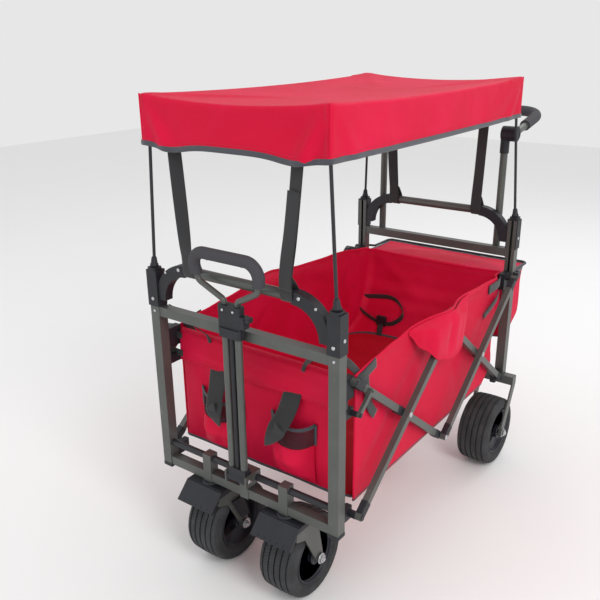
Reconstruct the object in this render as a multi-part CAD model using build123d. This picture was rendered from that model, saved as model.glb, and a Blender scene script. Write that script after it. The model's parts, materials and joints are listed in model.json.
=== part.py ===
"""Folding pull wagon with a canopy.

A front and a rear tube frame are joined by side scissors, with a cloth basket between them.

Millimetres. X is the wagon's width, -Y its front, +Z up. The origin is on the floor under its middle.
Every piece goes to parts/NODE.step. Names that end in _X, _Y or _Z are places, and the rest are sizes.
"""
from build123d import *
import os
from math import atan2, cos, degrees, hypot, radians, sin

os.makedirs("parts", exist_ok=True)

# ---- end frames: square posts, top bar, crossbar ----
POST_X = 240.0  # middle of a post, each side
POST_Y = 437.0  # middle of a post, front and rear
POST = 25.0  # square section
POST_WALL = 1.6
POST_TOP_Z = 718.0
FRONT_POST_FOOT_Z = 231.0
RAIL = 22.0  # square crossbar and bottom bar
RAIL_WALL = 1.5
CROSSBAR_Z = 626.0
TOP_BAR_R = 11.0
TOP_BAR_Z = 733.0
TOP_BAR_HALF = 140.0  # the top bar spans between the corner caps
TOP_BAR_WALL = 1.5
CORNER_WALL = 2.6  # corner cap, over the post
CORNER_SKIRT = 80.0  # how far the cap reaches down the post
CORNER_ARM = 13.0  # half height of the cap's curved arm
CORNER_OVERLAP = 6.0  # how far the arm's curve reaches into the sleeve
CORNER_SOCKET = 24.0  # boss for the canopy pole
SOCKET_HEIGHT = 6.0
BOTTOM_BAR_Z = 243.0
FLOOR_BAR_Z = 288.0
FLOOR_BAR_R = 8.0
STRUT = 24.0  # square upright that holds a caster
STRUT_FOOT_Z = 228.0
STRUT_TOP_Z = 300.0

# ---- side scissors ----
PIN_Y = 395.0  # end pins, front and rear, open
LOW_PIN_Z = 260.0
HIGH_PIN_Z = 566.0
ARM_INNER_X = 246.0  # inner layer of arms starts here
ARM_THICK = 14.0
LAYER_GAP = 2.0
ARM_WIDTH = 16.0
ARM_WALL = 1.4
PIN_R = 3.0
PIN_CLEARANCE = 0.05
OPEN_PIN_CLEARANCE = 0.3  # at the pivot where the linkage is left open
HEAD_R = 6.5
HEAD_THICK = 1.9
HEAD_GAP = 0.1
SLOT_WIDTH = 6.6  # slot in each post's inner face
TONGUE_CLEARANCE = 0.2
SLIDE_GAP = 0.3  # between a slider and its post
SLIDER_HEIGHT = 46.0
SLIDER_ABOVE_PIN = 9.0
TONGUE_BELOW_PIN = 19.0  # so that the tongue stays in its slot when folded
SLIDER_HALF = 11.0  # a slider's reach from the post's middle, inwards
STAY = 56.0  # short stay, pin to pin
STAY_THICK = 7.0
STAY_WIDTH = 11.0

# ---- wheels ----
WHEEL_R = 100.0
TYRE_WIDTH = 92.0
RIM_R = 66.0
TREAD_GROOVES = 5
GROOVE_WIDTH = 4.0
GROOVE_DEPTH = 3.5
SHOULDER = 14.0
FLANK_RISE = 8.0  # rim edge to the tyre's widest ring
TREAD_CROWN = 1.5
RIM_WINDOWS = 6
RIM_WINDOW_R = 12.0
RIM_WINDOW_RING_R = 40.0
HUB_R = 19.0
AXLE_R = 6.0
AXLE_CLEARANCE = 0.05
WHEEL_SIDE_GAP = 3.0  # tyre to fork leg
LEG_THICK = 4.5
AXLE_BOSS_R = 15.0  # round end of a rear wheel leg
NUT_THICK = 6.0
REAR_WHEEL_X = 232.0
REAR_WHEEL_Y = 372.0
REAR_BEAM_Z = 243.5
CASTER_X = 110.0
CASTER_TRAIL = 50.0
KINGPIN_R = 7.0
CROWN_Z = 207.0  # underside of the caster's crown plate
CROWN_THICK = 5.0
FENDER_THICK = 12.0

# ---- pull handle ----
HANDLE_PIN_R = 4.0
EAR = 4.0  # thickness of a bracket ear
HANDLE_Y = -463.0
HANDLE_PIVOT_Z = 290.0
HANDLE_TUBE_X = 17.0
HANDLE_TUBE_R = 8.0
HANDLE_BORE_R = 6.5
HANDLE_LEG_CLEARANCE = 0.1
HANDLE_TUBE_TOP_Z = 640.0
CLAMP_TOP_Z = 694.0
LOOP_HALF = 90.0
LOOP_TOP_Z = 797.0
LOOP_LEAN = 14.0
GRIP_R = 12.5
HANDLE_INSERT = 290.0  # leg length inside the tubes, closed
HANDLE_TRAVEL = 230.0

# ---- push handle ----
UPRIGHT_X = 186.0
UPRIGHT_R = 10.0
UPRIGHT_GAP = 0.2
KNUCKLE_Z = 944.0
KNUCKLE_R = 20.0
KNUCKLE_THICK = 20.0
KNUCKLE_GAP = 0.4
PUSH_TUBE_R = 9.5
PUSH_GRIP_R = 14.5
PUSH_REACH = 212.0
PUSH_RISE_DEG = 11.0
PUSH_CORNER_R = 62.0

# ---- canopy ----
CANOPY_HALF = 232.0
CANOPY_FRONT_Y = -452.0
CANOPY_REAR_Y = 431.0
CANOPY_ROOF_Z = 1092.0
CANOPY_HEM_Z = 993.0
CANOPY_CLOTH = 4.0
POLE_R = 3.5
ROOF_GAP = 0.5  # pole and strap tops to the roof cloth
POLE_INSET = 14.0  # pole top to the canopy's outer corner faces
STRAP_WIDTH = 30.0
STRAP_THICK = 2.2
STRAP_GAP = 0.3
STRAP_BELOW_BAR = 8.0  # strap foot below the middle of the top bar
STRAP_SPREAD = 14.0  # a strap's top lies this much further out than its foot
FRONT_STRAP_X = 136.0
REAR_STRAP_X = 126.0

# ---- cloth basket and rear bag ----
CLOTH = 5.0
CLOTH_GAP = 2.0  # cloth to the frame and the sliders
SEAT_GAP = 0.4  # cloth to what carries it
BASKET_FRONT_Y = -384.0  # middle of the front panel
WALL_FRONT_Y = -376.0
BASKET_REAR_Y = 452.0
FLOOR_Z = 276.0
FLOOR_THICK = 8.0
CHANNEL = 2.0  # sewn channel in the floor
RIM_Z = 578.0
FRONT_RIM_Z = 558.0
WALL_REAR_Y = 382.0
WALL_CUT_Y = 318.0
WALL_CUT_Z = 345.0
WALL_BEND_Z = 311.0
BAG_DEPTH = 140.0
BAG_FOOT_Z = 350.0
BAG_RIM_Z = 548.0
BAG_SLOPE = 34.0  # the bag's rear lower edge, cut off
LID_GAP = 1.5
LID_THICK = 4.0
HOOP_R = 3.5
HOOP_Z = 562.0

# ---- worked out from the sizes above ----
ARM_RISE = HIGH_PIN_Z - LOW_PIN_Z
ARM_LENGTH = hypot(PIN_Y, ARM_RISE)
ARM_DEG = degrees(atan2(ARM_RISE, PIN_Y))
ARM_OUTER_X = ARM_INNER_X + ARM_THICK + LAYER_GAP
ARM_END_X = ARM_OUTER_X + ARM_THICK
POST_INNER_Y = POST_Y - POST / 2
FACE_X = ARM_INNER_X - 0.4  # sliders and lugs stop here, short of the inner arms
TONGUE = SLOT_WIDTH - 2 * TONGUE_CLEARANCE
BASKET_HALF = ARM_INNER_X - HEAD_GAP - HEAD_THICK - SEAT_GAP  # outer face of a side wall
CASTER_AXLE_Y = -POST_Y + CASTER_TRAIL
CROWN_FRONT_Y = -POST_Y - 34
CROWN_REAR_Y = CASTER_AXLE_Y - 8
EAR_X = HANDLE_TUBE_X + HANDLE_TUBE_R + 1.5  # inner face of a pull handle ear
STAY_X = ARM_INNER_X + ARM_THICK + 0.5  # inner face of a stay
UPRIGHT_Y = POST_Y + RAIL / 2 + UPRIGHT_R + UPRIGHT_GAP
KNUCKLE_IN_X = UPRIGHT_X + UPRIGHT_R + 2.5 - KNUCKLE_THICK
PUSH_X = KNUCKLE_IN_X + 1.5 * KNUCKLE_THICK + KNUCKLE_GAP
STAY_DROP = 2 * STAY * sin(radians(ARM_DEG))


# ---- helpers ----
def block(x0, x1, y0, y1, z0, z1):
    """A box between two corners."""
    size = Box(x1 - x0, y1 - y0, z1 - z0)
    return Pos((x0 + x1) / 2, (y0 + y1) / 2, (z0 + z1) / 2) * size


def rod(start, end, radius):
    """A round bar from start to end."""
    a, b = Vector(*start), Vector(*end)
    plane = Plane(origin=a, z_dir=(b - a).normalized())
    return extrude(plane * Circle(radius), amount=(b - a).length)


def tube(start, end, radius, bore):
    """A round tube, open at both ends."""
    return rod(start, end, radius) - rod(start, end, bore)


def square_tube_z(x, y, z0, z1, side, wall):
    """An upright square tube."""
    half, hollow = side / 2, side / 2 - wall
    outer = block(x - half, x + half, y - half, y + half, z0, z1)
    return outer - block(x - hollow, x + hollow, y - hollow, y + hollow, z0, z1)


def square_tube_x(x0, x1, y, z, side, wall):
    """A level square tube along X."""
    half, hollow = side / 2, side / 2 - wall
    outer = block(x0, x1, y - half, y + half, z - half, z + half)
    return outer - block(x0, x1, y - hollow, y + hollow, z - hollow, z + hollow)


def side_plate(points, x0, x1):
    """A plate with its outline given as (y, z) points, between two X places."""
    outline = Polyline(*[(0, y, z) for y, z in points], close=True)
    return Pos(x0, 0, 0) * extrude(make_face(outline), amount=x1 - x0, dir=(1, 0, 0))


def pin_x(x0, x1, y, z, radius):
    """A round pin along X."""
    return rod((x0, y, z), (x1, y, z), radius)


def pair(piece):
    """A right-hand piece and its mirror image."""
    return Compound(children=[*piece.solids(), *mirror(piece, about=Plane.YZ).solids()])


def group(*pieces):
    """Separate solids kept in one node."""
    return Compound(children=[s for piece in pieces for s in piece.solids()])


def save(name, piece):
    """Write one node."""
    export_step(piece, f"parts/{name}.step")


# ---- pivots of the right-hand scissor: (y, z) ----
FRONT_LOW = (-PIN_Y, LOW_PIN_Z)
FRONT_HIGH = (-PIN_Y, HIGH_PIN_Z)
REAR_LOW = (PIN_Y, LOW_PIN_Z)
REAR_HIGH = (PIN_Y, HIGH_PIN_Z)
MIDDLE_LOW = (0.0, LOW_PIN_Z)
MIDDLE_HIGH = (0.0, HIGH_PIN_Z)
FRONT_CROSS = (-PIN_Y / 2, (LOW_PIN_Z + HIGH_PIN_Z) / 2)
REAR_CROSS = (PIN_Y / 2, (LOW_PIN_Z + HIGH_PIN_Z) / 2)
STAY_TOP = (-PIN_Y + STAY * cos(radians(ARM_DEG)), HIGH_PIN_Z - STAY * sin(radians(ARM_DEG)))
STAY_FOOT = (-PIN_Y, HIGH_PIN_Z - STAY_DROP)


def arm(start, end, x0, holes, thick=ARM_THICK, width=ARM_WIDTH, wall=ARM_WALL):
    """A flat tube with round ends from pivot to pivot; holes are ((y, z), clearance)."""
    (y0, z0), (y1, z1) = start, end
    centre = (x0, (y0 + y1) / 2, (z0 + z1) / 2)
    middle = Plane(origin=centre, x_dir=(0, y1 - y0, z1 - z0), z_dir=(1, 0, 0))
    length = hypot(y1 - y0, z1 - z0)
    body = extrude(middle * SlotCenterToCenter(length, width), amount=thick)
    if wall:
        hollow = middle.offset(wall) * Rectangle(length - 2 * width, width - 2 * wall)
        body -= extrude(hollow, amount=thick - 2 * wall)
    for (y, z), clearance in holes:
        body -= pin_x(x0 - 1, x0 + thick + 1, y, z, PIN_R + clearance)
    return body


def rivet(place, x0, x1):
    """A riveted pin with a low domed head at each end, its shank between two faces."""
    y, z = place
    shank = pin_x(x0 - HEAD_GAP, x1 + HEAD_GAP, y, z, PIN_R)
    inner = pin_x(x0 - HEAD_GAP - HEAD_THICK, x0 - HEAD_GAP, y, z, HEAD_R)
    outer = pin_x(x1 + HEAD_GAP, x1 + HEAD_GAP + HEAD_THICK, y, z, HEAD_R)
    dome = fillet(outer.edges().filter_by(GeomType.CIRCLE).sort_by(Axis.X)[-1:], 1.2)
    return shank + inner + dome


def end_posts(side, foot_z, slot_z):
    """A pair of posts, slotted on the face that looks at the basket; side is -1 front, 1 rear."""
    post = square_tube_z(POST_X, side * POST_Y, foot_z, POST_TOP_Z, POST, POST_WALL)
    inner, outer = side * (POST_INNER_Y - 1), side * (POST_INNER_Y + POST_WALL + 1)
    half = SLOT_WIDTH / 2
    slot = block(POST_X - half, POST_X + half, min(inner, outer), max(inner, outer), slot_z, POST_TOP_Z)
    return pair(post - slot)


def corner_caps(side):
    """The moulded corners: a sleeve on the post, open on its inner face, and an arm curved to the top bar."""
    half = POST / 2 + CORNER_WALL
    y = side * POST_Y
    open_y, shut_y = side * POST_INNER_Y, side * (POST_Y + half)
    y0, y1 = min(open_y, shut_y), max(open_y, shut_y)
    low_z = POST_TOP_Z - CORNER_SKIRT
    top_z = POST_TOP_Z + CORNER_WALL
    sleeve = block(POST_X - half, POST_X + half, y0, y1, low_z, top_z)
    inside = block(POST_X - POST / 2, POST_X + POST / 2, y - POST / 2, y + POST / 2, low_z, POST_TOP_Z)
    sleeve -= inside
    centre_x = TOP_BAR_HALF
    reach = POST_X - POST / 2 - CORNER_WALL + CORNER_OVERLAP - centre_x
    outer_r, inner_r = reach, reach - 2 * CORNER_ARM
    centre_z = TOP_BAR_Z + CORNER_ARM - outer_r
    arm_y0, arm_y1 = y - TOP_BAR_R, y + TOP_BAR_R
    ring = Pos(centre_x, arm_y1, centre_z) * Rot(90, 0, 0) * (
        extrude(Circle(outer_r) - Circle(inner_r), amount=arm_y1 - arm_y0)
    )
    quarter = block(centre_x, centre_x + outer_r, arm_y0, arm_y1, centre_z, centre_z + outer_r)
    curve = (ring & quarter) - inside
    socket_y = side * (POST_Y + half - CORNER_SOCKET / 2)
    boss = block(
        POST_X - CORNER_SOCKET / 2,
        POST_X + CORNER_SOCKET / 2,
        socket_y - CORNER_SOCKET / 2,
        socket_y + CORNER_SOCKET / 2,
        top_z,
        top_z + SOCKET_HEIGHT,
    )
    cap = sleeve + curve + fillet(boss.edges().filter_by(Axis.Z), 5)
    cap -= rod(*pole_ends(side), POLE_R)
    return pair(cap)


def pole_ends(side):
    """Foot and top of a right-hand canopy pole."""
    edge_y = CANOPY_FRONT_Y if side < 0 else CANOPY_REAR_Y
    foot = (POST_X, side * (POST_Y + 3), POST_TOP_Z + 1)
    top_z = CANOPY_ROOF_Z - CANOPY_CLOTH - ROOF_GAP - 1
    top = (CANOPY_HALF - POLE_INSET, edge_y - side * POLE_INSET, top_z)
    return foot, top


def cross_rails(side):
    """Top bar between the corner caps, and the crossbar between the posts."""
    y = side * POST_Y
    ends = (-TOP_BAR_HALF, y, TOP_BAR_Z), (TOP_BAR_HALF, y, TOP_BAR_Z)
    top = tube(*ends, TOP_BAR_R, TOP_BAR_R - TOP_BAR_WALL)
    inside = POST_X - POST / 2
    return group(top, square_tube_x(-inside, inside, y, CROSSBAR_Z, RAIL, RAIL_WALL))


def canopy_straps(side, foot_x, top_x):
    """Flat webbing from behind the top bar up to the canopy roof."""
    y = side * (POST_Y - TOP_BAR_R - STRAP_GAP - STRAP_THICK / 2)
    foot_z, top_z = TOP_BAR_Z - STRAP_BELOW_BAR, CANOPY_ROOF_Z - CANOPY_CLOTH - ROOF_GAP
    half = STRAP_WIDTH / 2
    outline = Polyline(
        (foot_x - half, y - STRAP_THICK / 2, foot_z),
        (foot_x + half, y - STRAP_THICK / 2, foot_z),
        (top_x + half, y - STRAP_THICK / 2, top_z),
        (top_x - half, y - STRAP_THICK / 2, top_z),
        close=True,
    )
    return pair(extrude(make_face(outline), amount=STRAP_THICK, dir=(0, 1, 0)))


def pin_lugs(side, reach_x):
    """Moulded shoes at the posts' feet, which hold the low pins; reach_x is the face that the arm runs on."""
    y_pin = side * PIN_Y
    y0, y1 = sorted((side * POST_INNER_Y, side * (PIN_Y - 11)))
    lug = block(POST_X - SLIDER_HALF, FACE_X, y0, y1, LOW_PIN_Z - 15, LOW_PIN_Z + 13)
    lug = fillet(lug.edges().filter_by(Axis.Z).group_by(Axis.Y)[0 if side > 0 else -1], 4)
    if reach_x > FACE_X:
        lug += pin_x(FACE_X - 1, reach_x, y_pin, LOW_PIN_Z, 8.5)
    return lug


def low_pins(side, x0, arm_x):
    """The scissor's low pins: shank in the shoe, head outside the arm."""
    y_pin = side * PIN_Y
    end = arm_x + ARM_THICK
    pin = pin_x(x0, end + HEAD_GAP, y_pin, LOW_PIN_Z, PIN_R)
    return pin + pin_x(end + HEAD_GAP, end + HEAD_GAP + HEAD_THICK, y_pin, LOW_PIN_Z, HEAD_R)


# ---- rear frame ----
def rear_axle_carrier():
    """Axle beam under the rear posts, with an outer and an inner leg at each wheel, and the two axles."""
    half = POST / 2
    inner_x = REAR_WHEEL_X - TYRE_WIDTH / 2 - WHEEL_SIDE_GAP
    outer_x = REAR_WHEEL_X + TYRE_WIDTH / 2 + WHEEL_SIDE_GAP
    beam = square_tube_x(-outer_x, outer_x, POST_Y, REAR_BEAM_Z, POST, POST_WALL)
    top = REAR_BEAM_Z + half
    low = REAR_BEAM_Z - half
    boss = AXLE_BOSS_R
    narrow = [
        (POST_Y - half, low),
        (POST_Y + half, low),
        (REAR_WHEEL_Y + boss, WHEEL_R),
        (REAR_WHEEL_Y - boss, WHEEL_R),
    ]
    tall = [(POST_Y - half, top), (POST_Y + half, top), *narrow[1:], narrow[0]]
    legs = side_plate(narrow, inner_x - LEG_THICK, inner_x) + side_plate(tall, outer_x, outer_x + LEG_THICK)
    for x in (inner_x - LEG_THICK, outer_x):
        legs += pin_x(x, x + LEG_THICK, REAR_WHEEL_Y, WHEEL_R, boss)
    legs -= pin_x(inner_x - 20, outer_x + 20, REAR_WHEEL_Y, WHEEL_R, AXLE_R)
    axle = pin_x(inner_x - LEG_THICK - 3, outer_x + LEG_THICK + 3, REAR_WHEEL_Y, WHEEL_R, AXLE_R)
    nut_r = AXLE_R + 4
    nut = pin_x(outer_x + LEG_THICK, outer_x + LEG_THICK + NUT_THICK, REAR_WHEEL_Y, WHEEL_R, nut_r)
    nut += pin_x(inner_x - LEG_THICK - NUT_THICK, inner_x - LEG_THICK, REAR_WHEEL_Y, WHEEL_R, nut_r)
    return beam + legs.solids()[0] + legs.solids()[1] + mirror(legs, about=Plane.YZ), pair(axle + nut)


def tyre(x, y):
    """A wide low tyre with grooves round its tread."""
    half, flank, edge_r = TYRE_WIDTH / 2, RIM_R + FLANK_RISE, WHEEL_R - TREAD_CROWN
    with BuildPart() as built:
        with BuildSketch(Plane.XZ):
            with BuildLine():
                Line((-half + 6, RIM_R), (half - 6, RIM_R))
                Line((half - 6, RIM_R), (half, flank))
                Line((half, flank), (half, WHEEL_R - SHOULDER))
                TangentArc((half, WHEEL_R - SHOULDER), (half - SHOULDER, edge_r), tangent=(0, 1))
                ThreePointArc((half - SHOULDER, edge_r), (0, WHEEL_R), (-half + SHOULDER, edge_r))
                TangentArc((-half, WHEEL_R - SHOULDER), (-half + SHOULDER, edge_r), tangent=(0, 1))
                Line((-half, WHEEL_R - SHOULDER), (-half, flank))
                Line((-half, flank), (-half + 6, RIM_R))
            make_face()
        revolve(axis=Axis.X)
    ring = built.part
    pitch = (TYRE_WIDTH - 2 * SHOULDER) / (TREAD_GROOVES - 1)
    for i in range(TREAD_GROOVES):
        middle = -TYRE_WIDTH / 2 + SHOULDER + i * pitch
        x0, x1 = middle - GROOVE_WIDTH / 2, middle + GROOVE_WIDTH / 2
        ring -= tube((x0, 0, 0), (x1, 0, 0), WHEEL_R + 2, WHEEL_R - GROOVE_DEPTH - 1)
    return Pos(x, y, WHEEL_R) * ring


def rim(x, y):
    """A moulded rim: barrel, web with round windows, hub bored for the axle."""
    half = TYRE_WIDTH / 2
    barrel = tube((-half + 6, 0, 0), (half - 6, 0, 0), RIM_R, RIM_R - 5)
    web = pin_x(-6, 6, 0, 0, RIM_R - 5) + pin_x(-half + 2, half - 2, 0, 0, HUB_R)
    for i in range(RIM_WINDOWS):
        turn = radians(360 * i / RIM_WINDOWS)
        y_hole, z_hole = RIM_WINDOW_RING_R * cos(turn), RIM_WINDOW_RING_R * sin(turn)
        web -= pin_x(-7, 7, y_hole, z_hole, RIM_WINDOW_R)
    bore = pin_x(-half, half, 0, 0, AXLE_R + AXLE_CLEARANCE)
    return Pos(x, y, WHEEL_R) * (barrel + web - bore)


def push_uprights():
    """Tubes behind the rear frame that carry the push handle."""
    foot_z = CROSSBAR_Z - RAIL / 2
    top_z = KNUCKLE_Z - KNUCKLE_R - 2
    return pair(
        tube((UPRIGHT_X, UPRIGHT_Y, foot_z), (UPRIGHT_X, UPRIGHT_Y, top_z), UPRIGHT_R, UPRIGHT_R - RAIL_WALL)
    )


def push_hinge_cheeks():
    """The fixed half of each knuckle, with its sleeve on the upright."""
    low_z, top_z = KNUCKLE_Z - KNUCKLE_R - 32, KNUCKLE_Z - KNUCKLE_R - 2
    sleeve_r = UPRIGHT_R + 2.2
    sleeve = tube((UPRIGHT_X, UPRIGHT_Y, low_z), (UPRIGHT_X, UPRIGHT_Y, top_z), sleeve_r, UPRIGHT_R)
    plug = rod((UPRIGHT_X, UPRIGHT_Y, top_z), (UPRIGHT_X, UPRIGHT_Y, top_z + 8), sleeve_r)
    disc = pin_x(KNUCKLE_IN_X, KNUCKLE_IN_X + KNUCKLE_THICK, UPRIGHT_Y, KNUCKLE_Z, KNUCKLE_R)
    end = KNUCKLE_IN_X + KNUCKLE_THICK
    axle = pin_x(end, end + KNUCKLE_THICK * 0.6, UPRIGHT_Y, KNUCKLE_Z, 5)
    return pair(sleeve + (plug & block(0, end, 0, 900, 0, KNUCKLE_Z)) + disc + axle)


def push_path():
    """Half-way line of the push handle, in its own plane, from knuckle to knuckle."""
    start = KNUCKLE_R * 0.6
    points = [(PUSH_X, start), (PUSH_X, PUSH_REACH), (-PUSH_X, PUSH_REACH), (-PUSH_X, start)]
    return FilletPolyline(*points, radius=PUSH_CORNER_R)


def push_handle():
    """The bent tube with its foam grip and the moving half of each knuckle."""
    path = push_path()
    start = Plane(origin=path @ 0, z_dir=path % 0)
    core = sweep(start * Circle(PUSH_TUBE_R), path=path)
    foam = sweep(start * Circle(PUSH_GRIP_R), path=path) - core
    core -= sweep(start * Circle(PUSH_TUBE_R - RAIL_WALL), path=path)
    foam -= block(-PUSH_X - 30, PUSH_X + 30, -30, 78, -40, 40)
    core = core - block(-PUSH_X - 30, PUSH_X + 30, -30, KNUCKLE_R * 0.8, -40, 40)
    disc_x = KNUCKLE_IN_X + KNUCKLE_THICK + KNUCKLE_GAP
    disc = pin_x(disc_x, disc_x + KNUCKLE_THICK, 0, 0, KNUCKLE_R) - core
    disc -= pin_x(disc_x - 1, disc_x + KNUCKLE_THICK * 0.6 + 1, 0, 0, 5.05)
    place = Pos(0, UPRIGHT_Y, KNUCKLE_Z) * Rot(PUSH_RISE_DEG, 0, 0)
    return place * core, place * foam, place * pair(disc)


# ---- front frame ----
def front_base():
    """Bottom bar, caster struts and the pull handle's bracket, welded up."""
    inside = POST_X - POST / 2
    bar = square_tube_x(-inside, inside, -POST_Y, BOTTOM_BAR_Z, RAIL, RAIL_WALL)
    half = STRUT / 2
    base = bar
    for x in (-CASTER_X, CASTER_X):
        base += block(x - half, x + half, -POST_Y - half, -POST_Y + half, STRUT_FOOT_Z, STRUT_TOP_Z)
        bore_foot, bore_top = (x, -POST_Y, STRUT_FOOT_Z - 1), (x, -POST_Y, STRUT_TOP_Z - 18)
        base -= rod(bore_foot, bore_top, KINGPIN_R + AXLE_CLEARANCE)
    base += block(-half, half, -POST_Y - half, -POST_Y + half, STRUT_FOOT_Z, STRUT_TOP_Z)
    low_z, top_z = HANDLE_PIVOT_Z - 14, HANDLE_PIVOT_Z + 14
    base += block(-EAR_X - EAR, EAR_X + EAR, -POST_Y - half, -POST_Y + half, low_z, top_z)
    for x in (-EAR_X - EAR, EAR_X):
        ear = block(x, x + EAR, HANDLE_Y - 12, -POST_Y - half, low_z, top_z)
        base += ear - pin_x(x - 1, x + EAR + 1, HANDLE_Y, HANDLE_PIVOT_Z, HANDLE_PIN_R)
    return base


def front_floor_bar():
    """The basket's front bar, let into the struts."""
    inside = POST_X - POST / 2
    start, end = (-inside, -POST_Y, FLOOR_BAR_Z), (inside, -POST_Y, FLOOR_BAR_Z)
    bar = tube(start, end, FLOOR_BAR_R, FLOOR_BAR_R - 1.5)
    low_z, top_z = FLOOR_BAR_Z - STRUT / 2, FLOOR_BAR_Z + STRUT / 2
    for x in (-CASTER_X, 0, CASTER_X):
        half = STRUT / 2 if x else EAR_X + EAR
        bar -= block(x - half, x + half, -POST_Y - STRUT, -POST_Y + STRUT, low_z, top_z)
    return bar


def caster_fork(x):
    """Kingpin, crown plate, two slanted legs and the axle bolt."""
    half = TYRE_WIDTH / 2 + WHEEL_SIDE_GAP
    outer = half + LEG_THICK
    crown = block(x - outer, x + outer, CROWN_FRONT_Y, CROWN_REAR_Y, CROWN_Z, CROWN_Z + CROWN_THICK)
    pin = rod((x, -POST_Y, CROWN_Z), (x, -POST_Y, STRUT_TOP_Z - 22), KINGPIN_R)
    race = rod((x, -POST_Y, CROWN_Z + CROWN_THICK), (x, -POST_Y, STRUT_FOOT_Z - 0.3), KINGPIN_R + 6)
    top = CROWN_Z + CROWN_THICK
    outline = [
        (CROWN_FRONT_Y, CROWN_Z - 14),
        (CROWN_FRONT_Y, top),
        (CROWN_REAR_Y, top),
        (CASTER_AXLE_Y + 13, WHEEL_R + 4),
        (CASTER_AXLE_Y, WHEEL_R - 14),
        (CASTER_AXLE_Y - 13, WHEEL_R),
        (-POST_Y - 4, CROWN_Z - 26),
    ]
    legs = side_plate(outline, x - outer, x - half) + side_plate(outline, x + half, x + outer)
    fork = crown + pin + race + legs
    fork -= pin_x(x - outer - 1, x + outer + 1, CASTER_AXLE_Y, WHEEL_R, AXLE_R)
    bolt = pin_x(x - outer - 1, x + outer + 1, CASTER_AXLE_Y, WHEEL_R, AXLE_R)
    bolt += pin_x(x + outer, x + outer + 5, CASTER_AXLE_Y, WHEEL_R, AXLE_R + 4)
    bolt += pin_x(x - outer - 4.5, x - outer, CASTER_AXLE_Y, WHEEL_R, AXLE_R + 4)
    return group(fork, bolt)


def caster_fender(x):
    """The stepped plastic cover over the crown, with a lip down the front."""
    outer = TYRE_WIDTH / 2 + WHEEL_SIDE_GAP + LEG_THICK
    low = CROWN_Z + CROWN_THICK
    front, back = -POST_Y - 62, CASTER_AXLE_Y + 6
    lip_y = CROWN_FRONT_Y - 1
    profile = [
        (front, CROWN_Z - 20),
        (front + 6, CROWN_Z - 24),
        (lip_y, CROWN_Z - 4),
        (lip_y, low),
        (back, low),
        (back, low + 5),
        (-POST_Y + 30, low + FENDER_THICK),
        (-POST_Y - 26, low + FENDER_THICK),
    ]
    cover = side_plate(profile, x - outer, x + outer)
    cover -= rod((x, -POST_Y, CROWN_Z - 40), (x, -POST_Y, STRUT_TOP_Z), KINGPIN_R + 7)
    return cover


def brake_pedal(x, side):
    """A foot pedal beside the tyre, on the axle bolt; side is -1 or 1, towards the wagon's middle."""
    near = x + side * (TYRE_WIDTH / 2 + WHEEL_SIDE_GAP + LEG_THICK + 0.4)
    far = near + side * 5
    profile = [
        (CASTER_AXLE_Y - 12, WHEEL_R + 22),
        (CASTER_AXLE_Y + 12, WHEEL_R + 22),
        (CASTER_AXLE_Y - 8, WHEEL_R + 84),
        (CASTER_AXLE_Y - 44, WHEEL_R + 84),
    ]
    return side_plate(profile, min(near, far), max(near, far))


def pull_spine():
    """Foot of the pull handle with its round barrel, and the dark rod between the tubes."""
    half = HANDLE_TUBE_X + HANDLE_TUBE_R + 0.8
    barrel = pin_x(-half, half, HANDLE_Y, HANDLE_PIVOT_Z, 11.5)
    neck = block(-half, half, HANDLE_Y - 8.5, HANDLE_Y + 8.5, HANDLE_PIVOT_Z, HANDLE_PIVOT_Z + 26)
    middle = rod((0, HANDLE_Y, HANDLE_PIVOT_Z + 20), (0, HANDLE_Y, HANDLE_TUBE_TOP_Z - 4), 6)
    spine = barrel + neck + middle
    spine -= pin_x(-half - 1, half + 1, HANDLE_Y, HANDLE_PIVOT_Z, HANDLE_PIN_R + PIN_CLEARANCE)
    for x in (-HANDLE_TUBE_X, HANDLE_TUBE_X):
        spine -= rod((x, HANDLE_Y, HANDLE_PIVOT_Z + 14), (x, HANDLE_Y, HANDLE_TUBE_TOP_Z), HANDLE_TUBE_R)
    return spine


def pull_tubes():
    """The two outer tubes of the pull handle."""
    return pair(
        tube(
            (HANDLE_TUBE_X, HANDLE_Y, HANDLE_PIVOT_Z + 14),
            (HANDLE_TUBE_X, HANDLE_Y, HANDLE_TUBE_TOP_Z),
            HANDLE_TUBE_R,
            HANDLE_BORE_R,
        )
    )


def pull_clamp():
    """The moulded clamp that joins the tubes at the top and guides the legs."""
    half = HANDLE_TUBE_X + HANDLE_TUBE_R + 4
    low_z = HANDLE_TUBE_TOP_Z - 16
    depth = 11.0
    clamp = block(-half, half, HANDLE_Y - depth, HANDLE_Y + depth, low_z, CLAMP_TOP_Z)
    clamp = fillet(clamp.edges().filter_by(Axis.Z), 6)
    clamp -= block(-40, 40, HANDLE_Y - 30, HANDLE_Y - depth + 3, low_z + 20, CLAMP_TOP_Z - 14)
    clamp -= rod((0, HANDLE_Y, low_z - 1), (0, HANDLE_Y, HANDLE_TUBE_TOP_Z - 4), 6)
    for x in (-HANDLE_TUBE_X, HANDLE_TUBE_X):
        clamp -= rod((x, HANDLE_Y, low_z - 1), (x, HANDLE_Y, HANDLE_TUBE_TOP_Z), HANDLE_TUBE_R)
        clamp -= rod((x, HANDLE_Y, low_z - 1), (x, HANDLE_Y, CLAMP_TOP_Z + 1), HANDLE_BORE_R)
    return clamp


def clamp_lever():
    """The cam lever at the clamp's side."""
    x0 = HANDLE_TUBE_X + HANDLE_TUBE_R + 4.3
    z = HANDLE_TUBE_TOP_Z + 24
    lever = block(x0, x0 + 10, HANDLE_Y - 9, HANDLE_Y + 9, z - 14, z + 12)
    lever += block(x0 + 10, x0 + 22, HANDLE_Y - 7, HANDLE_Y + 7, z + 2, z + 12)
    return lever


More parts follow.
